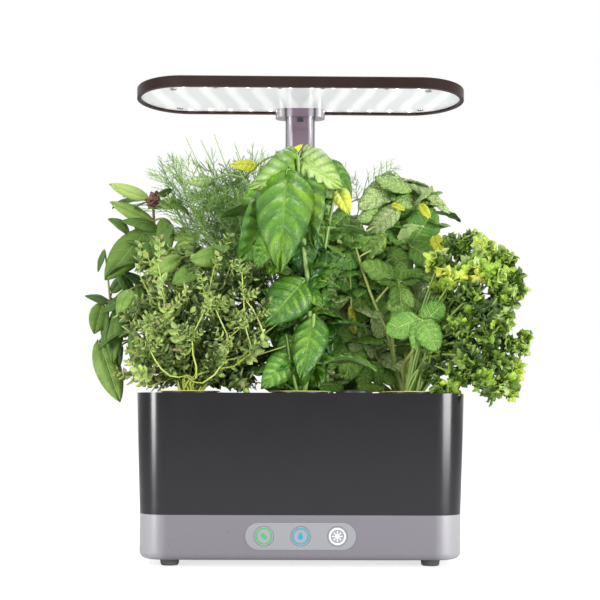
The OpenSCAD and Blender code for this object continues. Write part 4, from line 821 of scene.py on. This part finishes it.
# mint: toothed oval leaves, netted with veins
mint = {
    "seed": 37,
    "leaf": {"across": 8, "along": 14, "foot": 0.5, "tip": 0.6, "thick": 0.014, "pucker": 0.024, "veins": 6,
             "slant": 1.2, "cup": -0.1, "groove": 0.03, "ruffle": 0.012, "waves": 3, "teeth": 10, "teethSize": 0.07},
    "top": {"deep": (74, 126, 42), "pale": (172, 212, 98), "vein": (204, 230, 142), "light": (208, 228, 160),
            "panel": (150, 196, 84), "yellow": (214, 220, 60), "rough": 0.44, "veins": 6.0, "slant": 2.4,
            "netDepth": 0.0009, "netShare": 0.4, "veinDepth": 0.0008, "blotch": 110, "rim": 0.35},
    "under": {"deep": (80, 108, 60), "pale": (146, 170, 108), "vein": (176, 196, 140), "rough": 0.62,
              "veins": 6.0, "slant": 2.4, "veinDepth": -0.0006},
    "stem": ((136, 156, 70), (206, 222, 130)),
    "stems": [
        ([podPoint("mint", -4, 0), at(366, 330, 8), at(360, 270, 4), at(354, 245, 2)], 1.6, 1.0),
        ([podPoint("mint", -5, 2), at(322, 330, 10), at(310, 280, 4), at(326, 246, 0)], 1.5, 1.0),
        ([podPoint("mint", 0, -4), at(392, 340, -4), at(396, 310, -6), at(399, 282, -6)], 1.8, 1.1),
        ([podPoint("mint", 3, -5), at(404, 366, -20), at(416, 345, -44), at(421, 320, -58)], 1.9, 1.1),
        ([podPoint("mint", 2, 3), at(404, 300, 20), at(400, 230, 20), at(398, 182, 20)], 1.9, 1.0),
        ([podPoint("mint", 4, 3), at(420, 300, 26), at(428, 240, 28), at(430, 196, 28)], 1.7, 1.0),
        ([podPoint("mint", -6, 2), at(352, 370, 8), at(350, 345, 6), at(354, 330, 4)], 1.7, 1.1),
        ([podPoint("mint", -2, 6), point(64, 50, 190), point(50, 62, 236)], 1.6, 0.9),
        ([podPoint("mint", 4, 6), point(100, 48, 190), point(112, 62, 238)], 1.6, 0.9),
        ([podPoint("mint", 0, 5), point(84, 44, 210), point(80, 52, 270)], 1.6, 0.9),
        ([podPoint("mint", -2, -2), at(386, 330, -4), at(373, 300, -8), at(363, 272, -10), at(355, 246, -8)], 1.5, 1.1),
        ([podPoint("mint", -4, 2), at(340, 345, 8), at(326, 306, 2), at(313, 278, 0), at(310, 262, 0)], 1.3, 0.8),
        ([podPoint("mint", -3, 3), at(352, 350, 6), at(351, 296, 0), at(348, 254, -2)], 1.2, 0.8),
        ([at(376, 302, -8), at(383, 293, -9), at(390, 285, -9)], 1.2, 0.8),
        ([at(307, 284, -2), at(318, 266, -4), at(326, 248, -4)], 1.2, 0.8)],
    "leaves": [
        ((398, 180), (358, 209), 24, 14, 4, -20, 0.9, 0.35, 1.2),
        ((402, 180), (449, 214), 20, 18, 12, -36, 1.0, 0.3, 1.18),
        ((390, 196), (374, 206), 10, 14, 12, 30, 0.6, 0.4, 0.0),
        ((430, 192), (430, 224), 10, 24, 20, 40, 0.4, 0.5, 0.15),
        ((412, 247), (440, 263), 34, 8, 4, -10, 0.6, 0.2, 0.3),
        ((410, 246), (434, 209), 36, 10, 8, 20, 0.5, 0.2, 0.12),
        ((404, 242), (386, 222), 24, 8, 6, 10, 0.6, 0.2, 0.3),
        ((384, 212), (356, 220), 13, 10, 4, -40, 0.5, 0.4, 0.9),
        ((354, 245), (325, 258), 15, 2, -6, -14, 0.5, 0.3, 0.5),
        ((355, 243), (378, 237), 9, 2, 0, 44, 0.4, 0.4, 0.7),
        ((328, 243), (314, 226), 16, 0, -6, -14, 0.6, 0.3, 0.5),
        ((330, 240), (352, 228), 15, 0, -4, -34, 0.6, 0.3, 0.85),
        ((326, 246), (308, 252), 13, 0, -6, -10, 0.6, 0.3, 0.35),
        ((378, 226), (384, 249), 10, 4, 2, 20, 0.7, 0.4, 1.5),
        ((392, 204), (405, 210), 6, -4, -4, 20, 0.4, 0.4, 1.5),
        ((420, 204), (430, 218), 9, 0, -6, 20, 0.5, 0.4, 1.4),
        ((434, 236), (442, 252), 13, 4, 0, 20, 0.7, 0.4, 1.5),
        ((399, 281), (361, 263), 25, -6, -12, 6, 0.5, 0.2, 0.5),
        ((399, 283), (401, 316), 22, -6, -12, -8, 0.6, 0.25, 0.25),
        ((404, 289), (413, 308), 12, -8, -14, 10, 0.5, 0.3, 0.75),
        ((402, 281), (424, 272), 17, -6, -8, 26, 0.5, 0.3, 0.3),
        ((398, 280), (404, 262), 15, -6, -8, 10, 0.5, 0.3, 0.4),
        ((419, 319), (386, 333), 28, -58, -64, -6, 0.4, 0.12, 0.22),
        ((424, 322), (444, 303), 24, -58, -62, 20, 0.5, 0.2, 0.12),
        ((422, 320), (437, 351), 26, -60, -68, 10, 0.5, 0.25, 0.36),
        ((420, 322), (414, 350), 18, -58, -64, -20, 0.5, 0.25, 0.25),
        ((354, 330), (347, 381), 35, 4, 2, -8, 0.4, 0.15, 0.5),
        ((354, 333), (350, 305), 9, -2, -4, 0, 0.3, 0.3, 1.45),
        ((327, 314), (331, 338), 26, 6, 2, 6, 0.5, 0.2, 0.42),
        ((359, 290), (363, 322), 22, 4, -2, 8, 0.5, 0.2, 0.34),
        ((377, 297), (386, 327), 20, 2, -4, 10, 0.5, 0.2, 0.38),
        ((330, 308), (318, 300), 12, 4, 0, -10, 0.6, 0.3, 0.9),
        ((332, 308), (346, 300), 12, 4, 0, -10, 0.6, 0.3, 0.85),
        ((330, 306), (330, 292), 10, 4, 0, 10, 0.6, 0.3, 1.0),
        ((424, 367), (405, 374), 15, -20, -28, -6, 0.5, 0.3, 0.55),
        ((366, 366), (362, 390), 18, 6, 6, 6, 0.5, 0.3, 0.35),
        ((374, 362), (380, 386), 16, 6, 6, 10, 0.5, 0.3, 0.3),
        ((340, 352), (322, 368), 18, 8, 6, -10, 0.5, 0.3, 0.2)],
    "pairs": [(0, 4, 0.35), (1, 4, 0.3), (2, 3, 0.3), (4, 7, 0.35), (5, 6, 0.35),
              (7, 6, 0.3), (8, 6, 0.3), (9, 7, 0.3)],
    "paired": {"end": 1.0, "length": 30, "ratio": 0.66, "taper": 0.35, "rise": 0.15, "droop": 0.35, "bend": 0.7,
               "fold": 0.25, "tone": 0.3, "stalk": 0.15},
    "patches": [(348, 386, 30, 4, 10, -4, 34, 0.45), (342, 260, 34, 46, 30, -6, 36, 0.7),
                (388, 250, 46, 44, 34, 0, 44, 0.7), (352, 340, 40, 42, 38, -10, 40, 0.9),
                (398, 330, 44, 46, 34, -6, 40, 0.85), (356, 378, 44, 9, 14, -4, 36, 0.7),
                (322, 356, 12, 32, 18, -6, 24, 0.2), (336, 284, 14, 14, 10, 0, 20, 0.4),
                (404, 206, 34, 24, 20, 0, 36, 1.0), (326, 212, 12, 18, 6, -4, 20, 0.3),
                (384, 240, 12, 12, 6, 6, 30, 0.2)],
    "filling": {"length": 27, "ratio": 0.68, "spread": 1.7}}
mintTop = leafFinish("mintLeaf", mint["top"])
mintUnder = leafFinish("mintUnder", mint["under"])
mintStem = stemFinish("mintStem", *mint["stem"])
mintSource = makeLeaf("mintSource", mint["leaf"], [mintTop, mintUnder])
parts, stalks = growLeaves(mint, mintSource, random.Random(mint["seed"]))
mintStems = [drawStems("mintStems", mint["stems"], mintStem), drawStems("mintStalks", stalks, mintStem, steps=2)]
mintPiece = joinPieces("mint_plant", mintStems + parts)
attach(mintPiece, "deck")
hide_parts("mint")
print("mint:", len(parts), "leaves", countOf(mintPiece), "triangles")

# thyme: wiry stems crowded with tiny leaves, a few of them purple. Its tips and the lines in front are picture places
thyme = {
    "seed": 5, "stems": 48, "sprigs": 5, "made": ((27, 7), (21, 6), (32, 8)), "lowest": 0.137, "lowestLeaf": 0.131,
    "tones": (0.15, 0.35, 0.55, 0.75, 0.9), "purple": 1.5, "purpleShare": 0.09, "leafSize": (6.2, 9.4),
    "depths": (-52, -38, -24), "frontDepths": (-62, -54, -46, -34), "frontFrom": 16, "lineDepth": -66,
    "shadeFront": 0.15, "shadeBack": -0.35, "shadeLeft": 0.5, "shadeRight": -0.2, "sprigSize": (0.7, 1.1),
    "leaf": {"across": 2, "along": 3, "foot": 0.5, "tip": 0.6, "thick": 0.08, "cup": -0.25, "groove": 0.04},
    "top": {"deep": (54, 78, 28), "pale": (176, 202, 112), "vein": (190, 212, 140), "light": (176, 200, 110),
            "yellow": (112, 66, 76), "rough": 0.55, "veins": 1.0, "sideShare": 0.0, "midrib": 0.06, "blotch": 160,
            "blotchy": 1.1, "netDepth": 0.0001},
    "under": {"deep": (80, 100, 54), "pale": (160, 178, 118), "vein": (180, 190, 150), "rough": 0.65,
              "veins": 1.0, "sideShare": 0.0, "netDepth": 0.0001},
    "stem": ((126, 138, 52), (200, 218, 104)),
    "tips": [
        (128, 300), (122, 326), (140, 276), (152, 300), (158, 264), (176, 266), (196, 262), (214, 268),
        (232, 262), (246, 276), (262, 284), (272, 302), (280, 322), (286, 346), (282, 368), (130, 350),
        (140, 372), (164, 300), (184, 300), (206, 300), (228, 300), (250, 304), (262, 330), (158, 336),
        (180, 334), (204, 330), (226, 336), (246, 346), (170, 366), (196, 362), (222, 366), (250, 372),
        (150, 386), (270, 384), (186, 386), (216, 388), (246, 387), (166, 388), (232, 382), (200, 380)],
    "lines": [
        ((203, 383), (228, 348), (215, 308)), ((250, 354), (246, 329), (242, 275)),
        ((196, 378), (192, 340), (204, 312)), ((262, 340), (256, 316), (246, 300)),
        ((170, 376), (150, 350), (146, 330))]}
thymeTop = leafFinish("thymeLeaf", thyme["top"])
thymeUnder = leafFinish("thymeUnder", thyme["under"])
thymeStem = stemFinish("thymeStem", *thyme["stem"])
thymeSource = makeLeaf("thymeSource", thyme["leaf"], [thymeTop, thymeUnder])
rng = random.Random(thyme["seed"])

def makeThymeSprig(length, pairs):
    twig = [point(0, 0, 0), point(length * 0.5, 0, 0.6), point(length, 0, 0)]
    leaves = [drawStems("twig", [(twig, 0.42, 0.25)], thymeStem, 0.7, sides=0, steps=2)]
    for k in range(pairs):
        foot = point(length * (0.12 + 0.88 * k / (pairs - 1)), 0, 0)
        for side in (0, 1):
            angle = math.pi / 2 * (k % 2) + math.pi * side + rng.uniform(-0.4, 0.4)
            out = Vector((rng.uniform(0.35, 0.8), math.cos(angle), math.sin(angle)))
            size = rng.uniform(*thyme["leafSize"]) * (1 - 0.25 * k / pairs)
            tip = foot + out.normalized() * size * mm
            facing = Vector((1, 0, 0)) + randomVector(rng, (-0.5, 0.5), (-0.5, 0.5), (-0.5, 0.5))
            bend = rng.uniform(0.1, 0.9)
            tone = thyme["purple"] if rng.random() < thyme["purpleShare"] else rng.choice(thyme["tones"])
            leaves.append(placeLeaf(thymeSource, foot, tip, size * 0.62 * mm, facing, bend, 0.2, 0, tone))
    sprig = joinPieces("thymeSprig", leaves)
    unlinkPiece(sprig)
    setCoords(sprig.data, coordsOf(sprig.data) / mm)
    return sprig

# the cushion of thyme: clear of the parsley's side, the herbs behind, the front and the left end
def inThyme(base, end):
    return (min(base.z, end.z) >= thyme["lowestLeaf"] and isClear(end)
            and -0.142 <= end.x <= -0.012 and -0.084 <= end.y <= -0.004)

sprigs = [makeThymeSprig(length, pairs) for length, pairs in thyme["made"]]
stems, parts = [], []
for k in range(thyme["stems"]):
    if k < len(thyme["tips"]):
        tip = at(*thyme["tips"][k], rng.choice(thyme["frontDepths" if k >= thyme["frontFrom"] else "depths"]))
    else:
        tip = point(rng.uniform(-134, -24), rng.uniform(-34, -8), rng.uniform(150, 225))
    foot = podPoint("thyme", rng.uniform(-7, 7), rng.uniform(-7, 7))
    middle = foot.lerp(tip, 0.5) + point(rng.uniform(-5, 5), rng.uniform(-5, 5), rng.uniform(2, 12))
    middle.z = max(middle.z, thyme["lowest"])
    points = [foot, foot.lerp(middle, 0.5) + point(0, 0, 5), middle, tip]
    stems.append((points, 0.8, 0.5))
    last = thyme["sprigs"] - 1
    for j in range(thyme["sprigs"]):
        base = onPath(points, 0.4 + 0.6 * j / last)
        out = (tip - foot).normalized() * 0.9 + randomVector(rng, (-1, 1), (-1, 1), (-0.4, 0.9))
        size = rng.uniform(*thyme["sprigSize"]) * (1 if j < last else 0.8)
        if not inThyme(base, base + out.normalized() * 26 * size * mm):
            continue
        # painted light and shade: sprigs at the front and the left end lighter, those at the back and on the right
        # darker
        shade = thyme["shadeFront" if base.y < -0.045 else "shadeBack"]
        shade += thyme["shadeLeft" if base.x < -0.1 else "shadeRight"]
        parts.append(placeSprig(rng.choice(sprigs), base, out, size * mm, rng.uniform(0, 6.3),
                                0.5 + shade + rng.uniform(-0.25, 0.2), rng.uniform(-0.004, 0.008)))
for line in thyme["lines"]:
    front = [at(*spot, thyme["lineDepth"] - 3 * k) for k, spot in enumerate(line)]
    rooted = [podPoint("thyme", rng.uniform(-6, 6), -6), podPoint("thyme", rng.uniform(-8, 8), -12, 12)]
    stems.append((rooted + front, 0.85, 0.55))
    for spot in front[1:]:
        for turn in range(3):
            out = Vector((rng.uniform(-1, 1), -0.3, rng.uniform(-0.2, 1)))
            parts.append(placeSprig(sprigs[1], spot, out, rng.uniform(0.45, 0.7) * mm, rng.uniform(0, 6.3), 0.7))
thymePiece = joinPieces("thyme_plant", [drawStems("thymeStems", stems, thymeStem, 0.7, sides=0, steps=3)] + parts)
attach(thymePiece, "deck")
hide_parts("thyme")
print("thyme:", len(parts), "sprigs", countOf(thymePiece), "triangles")

# dill: fine threads in arching fans. Tips are picture places with their depth; those right of sparseFrom px stay thin
dill = {
    "seed": 71, "thread": ((72, 122, 42), (178, 214, 120)), "made": ((36, 6), (28, 5), (44, 7)), "sparseFrom": 260,
    "size": (0.7, 1.05), "sparseSize": (0.55, 0.85), "toneSpread": (-0.35, 0.4),
    "highest": 0.322, "farthest": 0.06, "mastSide": 0.064, "mastFront": 0.033,
    "tips": [
        ((201, 140), 24), ((190, 154), 28), ((236, 152), 26), ((168, 176), 30), ((184, 190), 20), ((212, 172), 12),
        ((236, 180), 10), ((252, 190), 16), ((174, 214), 18), ((198, 214), 6), ((224, 214), 6), ((246, 222), 10),
        ((214, 236), 10), ((174, 196), 26), ((222, 196), 2), ((206, 228), -2), ((232, 236), 2), ((204, 190), 14),
        ((228, 170), 24), ((192, 172), 18), ((186, 138), 22), ((214, 134), 24), ((234, 142), 24), ((276, 150), 22),
        ((346, 162), 26), ((328, 200), 20), ((322, 220), 14), ((250, 160), 30), ((206, 160), 32), ((368, 176), 28)]}
dillThread = stemFinish("dillThread", *dill["thread"], 0.5)
rng = random.Random(dill["seed"])

def makeDillFrond(length, branches):
    threads = [([point(0, 0, 0), point(length * 0.5, 0, 1.5), point(length, 0, 0)], 0.5, 0.25)]
    for k in range(branches):
        start = point(length * (0.18 + 0.8 * k / (branches - 1)), 0, 1)
        reach = length * 0.42 * (1 - 0.55 * k / branches)
        for side in (-1, 1):
            angle = rng.uniform(0.6, 1.0)
            lift = rng.uniform(-0.5, 0.5)
            out = Vector((math.cos(angle), side * math.sin(angle), lift)).normalized()
            threads.append(([start, start + out * reach * mm], 0.3, 0.2))
            for j in range(3):
                node = start + out * reach * mm * (0.28 + 0.3 * j)
                for twist in (-0.6, 0.6):
                    aside = Vector((rng.uniform(0, 0.5), twist * rng.uniform(0.7, 1.3), rng.uniform(-0.5, 0.5)))
                    finer = (out + aside).normalized()
                    threads.append(([node, node + finer * reach * rng.uniform(0.35, 0.65) * mm], 0.26, 0.13))
    frond = drawStems("dillFrond", threads, dillThread, sides=0, steps=1)
    unlinkPiece(frond)
    setCoords(frond.data, coordsOf(frond.data) / mm)
    return frond

# below the light, before the back of the garden and off the mast
def inDill(base, end):
    nearMast = abs(end.x + base.x) < dill["mastSide"] and max(end.y, base.y) > dill["mastFront"]
    return isClear(end) and end.z <= dill["highest"] and end.y <= dill["farthest"] and not nearMast

fronds = [makeDillFrond(length, branches) for length, branches in dill["made"]]
stems, parts = [], []
for px, depth in dill["tips"]:
    tip = at(*px, depth)
    foot = podPoint("dill", rng.uniform(-5, 5), rng.uniform(-5, 5))
    middle = foot.lerp(tip, 0.55) + point(rng.uniform(-4, 4), rng.uniform(-3, 3), 14)
    points = [foot, foot.lerp(middle, 0.5) + point(0, 0, 8), middle, tip]
    stems.append((points, 1.1, 0.3))
    sparse = px[0] > dill["sparseFrom"]
    for j in range(3 if sparse else 8):
        base = onPath(points, 0.88 + 0.12 * j / 2 if sparse else 0.55 + 0.45 * j / 7)
        way = (onPath(points, 1.0) - onPath(points, 0.85)).normalized()
        out = way * 0.8 + randomVector(rng, (-1, 1), (-0.8, 0.8), (-0.7, 1.0))
        size = rng.uniform(*dill["sparseSize" if sparse else "size"])
        if not inDill(base, base + out.normalized() * 36 * size * mm):
            continue
        parts.append(placeSprig(rng.choice(fronds[:2] if sparse else fronds), base, out, size * mm, rng.uniform(0, 6.3),
                                0.5 + rng.uniform(*dill["toneSpread"]), rng.uniform(-0.004, 0.01)))
dillPiece = joinPieces("dill_plant", [drawStems("dillStems", stems, dillThread, 0.7, sides=0, steps=3)] + parts)
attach(dillPiece, "deck")
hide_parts("dill")
print("dill:", len(parts), "fronds", countOf(dillPiece), "triangles")

# curly parsley: crisped lobes in dense heads. The front ones have a picture place, depth, tone and size, the back ones
# a place in mm and a tone. A head's tone also carries its painted light and shade
parsley = {
    "seed": 97, "lobesPerHead": 17, "lobeSize": (7.5, 13), "lobeThick": 0.035, "lowest": 0.142,
    "toneShift": -0.06, "toneSpread": (-0.6, 0.55),
    "lobes": (("lobeA", 5, 7, 0.25), ("lobeB", 4, 6, 0.4), ("lobeC", 6, 8, 0.1)),
    "top": {"deep": (36, 66, 14), "pale": (152, 190, 58), "vein": (172, 204, 90), "light": (176, 200, 74),
            "yellow": (212, 212, 90), "rough": 0.42, "veins": 4.0, "sideShare": 0.2, "blotch": 140, "blotchy": 0.9,
            "netDepth": 0.0002},
    "under": {"deep": (66, 92, 34), "pale": (150, 178, 84), "vein": (160, 186, 100), "rough": 0.6,
              "veins": 4.0, "sideShare": 0.2, "netDepth": 0.0002},
    "stem": ((88, 120, 44), (168, 198, 100)),
    "frontHeads": [
        ((438, 264), -40, 0.75, 1), ((462, 250), -30, 0.5, 1), ((484, 252), -40, 0.9, 1),
        ((504, 262), -46, 0.7, 1), ((512, 284), -50, 0.6, 1), ((474, 270), -62, 1.0, 1),
        ((452, 280), -66, 0.9, 1), ((492, 280), -66, 0.85, 1), ((500, 296), -60, 0.3, 1),
        ((470, 296), -70, 0.35, 1), ((448, 304), -44, 0.3, 1), ((480, 318), -72, 0.25, 1),
        ((500, 322), -58, 0.55, 1), ((458, 330), -66, 0.3, 1), ((486, 342), -72, 0.3, 1),
        ((508, 344), -50, 0.5, 0.8), ((523, 338), -46, 0.8, 0.6), ((520, 350), -52, 0.9, 0.6),
        ((448, 352), -50, 0.35, 1), ((468, 356), -74, 0.3, 1), ((494, 364), -66, 0.4, 1),
        ((456, 376), -64, 0.45, 1), ((478, 382), -70, 0.35, 0.9), ((502, 382), -58, 0.75, 1),
        ((512, 372), -50, 0.8, 0.8), ((494, 394), -56, 0.8, 0.8), ((510, 392), -50, 0.85, 0.7),
        ((440, 388), -58, 0.4, 0.8), ((432, 372), -50, 0.4, 0.8), ((448, 392), -64, 0.5, 0.8),
        ((438, 290), -30, 0.45, 0.8), ((452, 318), -52, 0.35, 0.9), ((442, 338), -46, 0.3, 0.8),
        ((430, 354), -44, 0.25, 0.7), ((470, 240), -24, 0.5, 0.8), ((450, 244), -20, 0.3, 0.8),
        ((518, 292), -44, 0.6, 0.7)],
    "backHeads": [
        ((100, -14, 176), 0.4), ((126, -18, 190), 0.5), ((146, -24, 170), 0.5), ((150, -60, 200), 0.6),
        ((118, -70, 166), 0.4), ((138, -40, 226), 0.8), ((112, -20, 214), 0.6), ((160, -30, 200), 0.6),
        ((158, -16, 150), 0.5), ((136, -12, 152), 0.4)]}
parsleyTop = leafFinish("parsleyLeaf", parsley["top"])
parsleyUnder = leafFinish("parsleyUnder", parsley["under"])
parsleyStem = stemFinish("parsleyStem", *parsley["stem"])
rng = random.Random(parsley["seed"])

# one crisped lobe: a fan whose edge is notched and thrown into waves
def makeLobe(name, notches, waves, curl):
    deselect()
    bpy.ops.mesh.primitive_grid_add(x_subdivisions=18, y_subdivisions=2, size=1, calc_uvs=True)
    lobe = bpy.context.object
    lobe.name = name
    co = coordsOf(lobe.data)
    c, s = co[:, 0] * 2, co[:, 1] + 0.5
    around = c * math.radians(150)
    reach = (0.06 + 0.94 * s) * (1 + 0.2 * s * np.cos(notches * around) + 0.08 * s * np.cos(17 * around))
    height = s ** 1.5 * (0.2 * np.sin(waves * around + 1.0) + 0.09 * np.sin(2.3 * waves * around)) + curl * s ** 2
    setCoords(lobe.data, np.stack([reach * np.cos(around) + 0.3, reach * np.sin(around), height], 1) * 0.6)
    thickenSheet(lobe, parsley["lobeThick"], [parsleyTop, parsleyUnder])
    unlinkPiece(lobe)
    return lobe

lobes = [makeLobe(*values) for values in parsley["lobes"]]
heads = [(at(*px, depth), tone, size) for px, depth, tone, size in parsley["frontHeads"]]
heads += [(point(*place), tone, 1) for place, tone in parsley["backHeads"]]
stems, parts = [], []
for tip, tone, size in heads:
    foot = podPoint("parsley", rng.uniform(-6, 6), rng.uniform(-6, 6))
    middle = foot.lerp(tip, 0.5) + point(0, 0, 16)
    middle.z = max(middle.z, parsley["lowest"])
    stems.append(([foot, foot.lerp(middle, 0.5) + point(0, 0, 8), middle, tip], 1.25, 0.8))
    outward = (tip - foot).normalized()
    for k in range(parsley["lobesPerHead"]):
        out = outward * 0.5 + randomVector(rng, (-1, 1), (-1, 0.7), (-0.5, 1)).normalized()
        start = tip + randomVector(rng, (-5, 5), (-5, 5), (-5, 5)) * mm * size
        parts.append(placeSprig(rng.choice(lobes), start, out, rng.uniform(*parsley["lobeSize"]) * size * mm,
                                rng.uniform(0, 6.3), tone + parsley["toneShift"] + rng.uniform(*parsley["toneSpread"])))
parsleyPiece = joinPieces("parsley_plant", [drawStems("parsleyStems", stems, parsleyStem)] + parts)
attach(parsleyPiece, "deck")
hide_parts("parsley")
print("parsley:", len(parts), "lobes", countOf(parsleyPiece), "triangles")

# floor, background and lamps: place, target, width, height and power of each lamp
studio = {"world": 0.37, "floorGlow": 0.7, "floorSize": 12, "lamps": {
    "leftStrip": ((-1.17, -0.98, 0.17), (0, 0, 0.12), 0.4, 0.4, 13),
    "rightStrip": ((1.12, -1.04, 0.17), (0, 0, 0.12), 0.8, 0.4, 21),
    "keyPanel": ((-0.6, -1.6, 1.2), (0, 0, 0.2), 1.0, 1.0, 7),
    "topPanel": ((0.2, 0.1, 1.6), (0, 0, 0.2), 0.9, 0.9, 15)}}

deselect()
bpy.ops.mesh.primitive_plane_add(size=studio["floorSize"], location=(0, 0, -0.0002))
floor = bpy.context.object
floor.name = "studio_floor"
floorFinish = Finish("studioFloor", (0.9, 0.9, 0.9, 1), 0.9, specular=0.0)
seenByCamera = floorFinish.node("ShaderNodeLightPath").outputs["Is Camera Ray"]
floorFinish.glow((1, 1, 1, 1), floorFinish.times(seenByCamera, studio["floorGlow"]))
floor.data.materials.append(floorFinish.material)

# the background is white where it is seen, straight or in a shine, and dimmer as light
world = bpy.data.worlds.new("studio")
bpy.context.scene.world = world
world.use_nodes = True
worldNodes, worldLinks = world.node_tree.nodes, world.node_tree.links

def larger(first, second):
    made = worldNodes.new("ShaderNodeMath")
    made.operation = "MAXIMUM"
    worldLinks.new(first, made.inputs[0])
    worldLinks.new(second, made.inputs[1])
    return made.outputs[0]

path = worldNodes.new("ShaderNodeLightPath").outputs
seen = larger(larger(path["Is Camera Ray"], path["Is Transmission Ray"]), path["Is Glossy Ray"])
level = worldNodes.new("ShaderNodeMapRange")
worldLinks.new(seen, level.inputs["Value"])
level.inputs["To Min"].default_value = studio["world"]
level.inputs["To Max"].default_value = 1.0
background = worldNodes["Background"]
worldLinks.new(level.outputs[0], background.inputs["Strength"])
background.inputs["Color"].default_value = (1, 1, 1, 1)

def areaLight(name, place, target, size, sizeY, power):
    data = bpy.data.lights.new(name, "AREA")
    data.shape = "RECTANGLE"
    data.size, data.size_y, data.energy = size, sizeY, power
    lamp = bpy.data.objects.new(name, data)
    lamp.location = place
    lamp.rotation_euler = (Vector(target) - Vector(place)).to_track_quat("-Z", "Y").to_euler()
    linkPiece(lamp)

for name, values in studio["lamps"].items():
    areaLight(name, *values)
bpy.context.scene.view_settings.view_transform = "Standard"
print("studio ready")
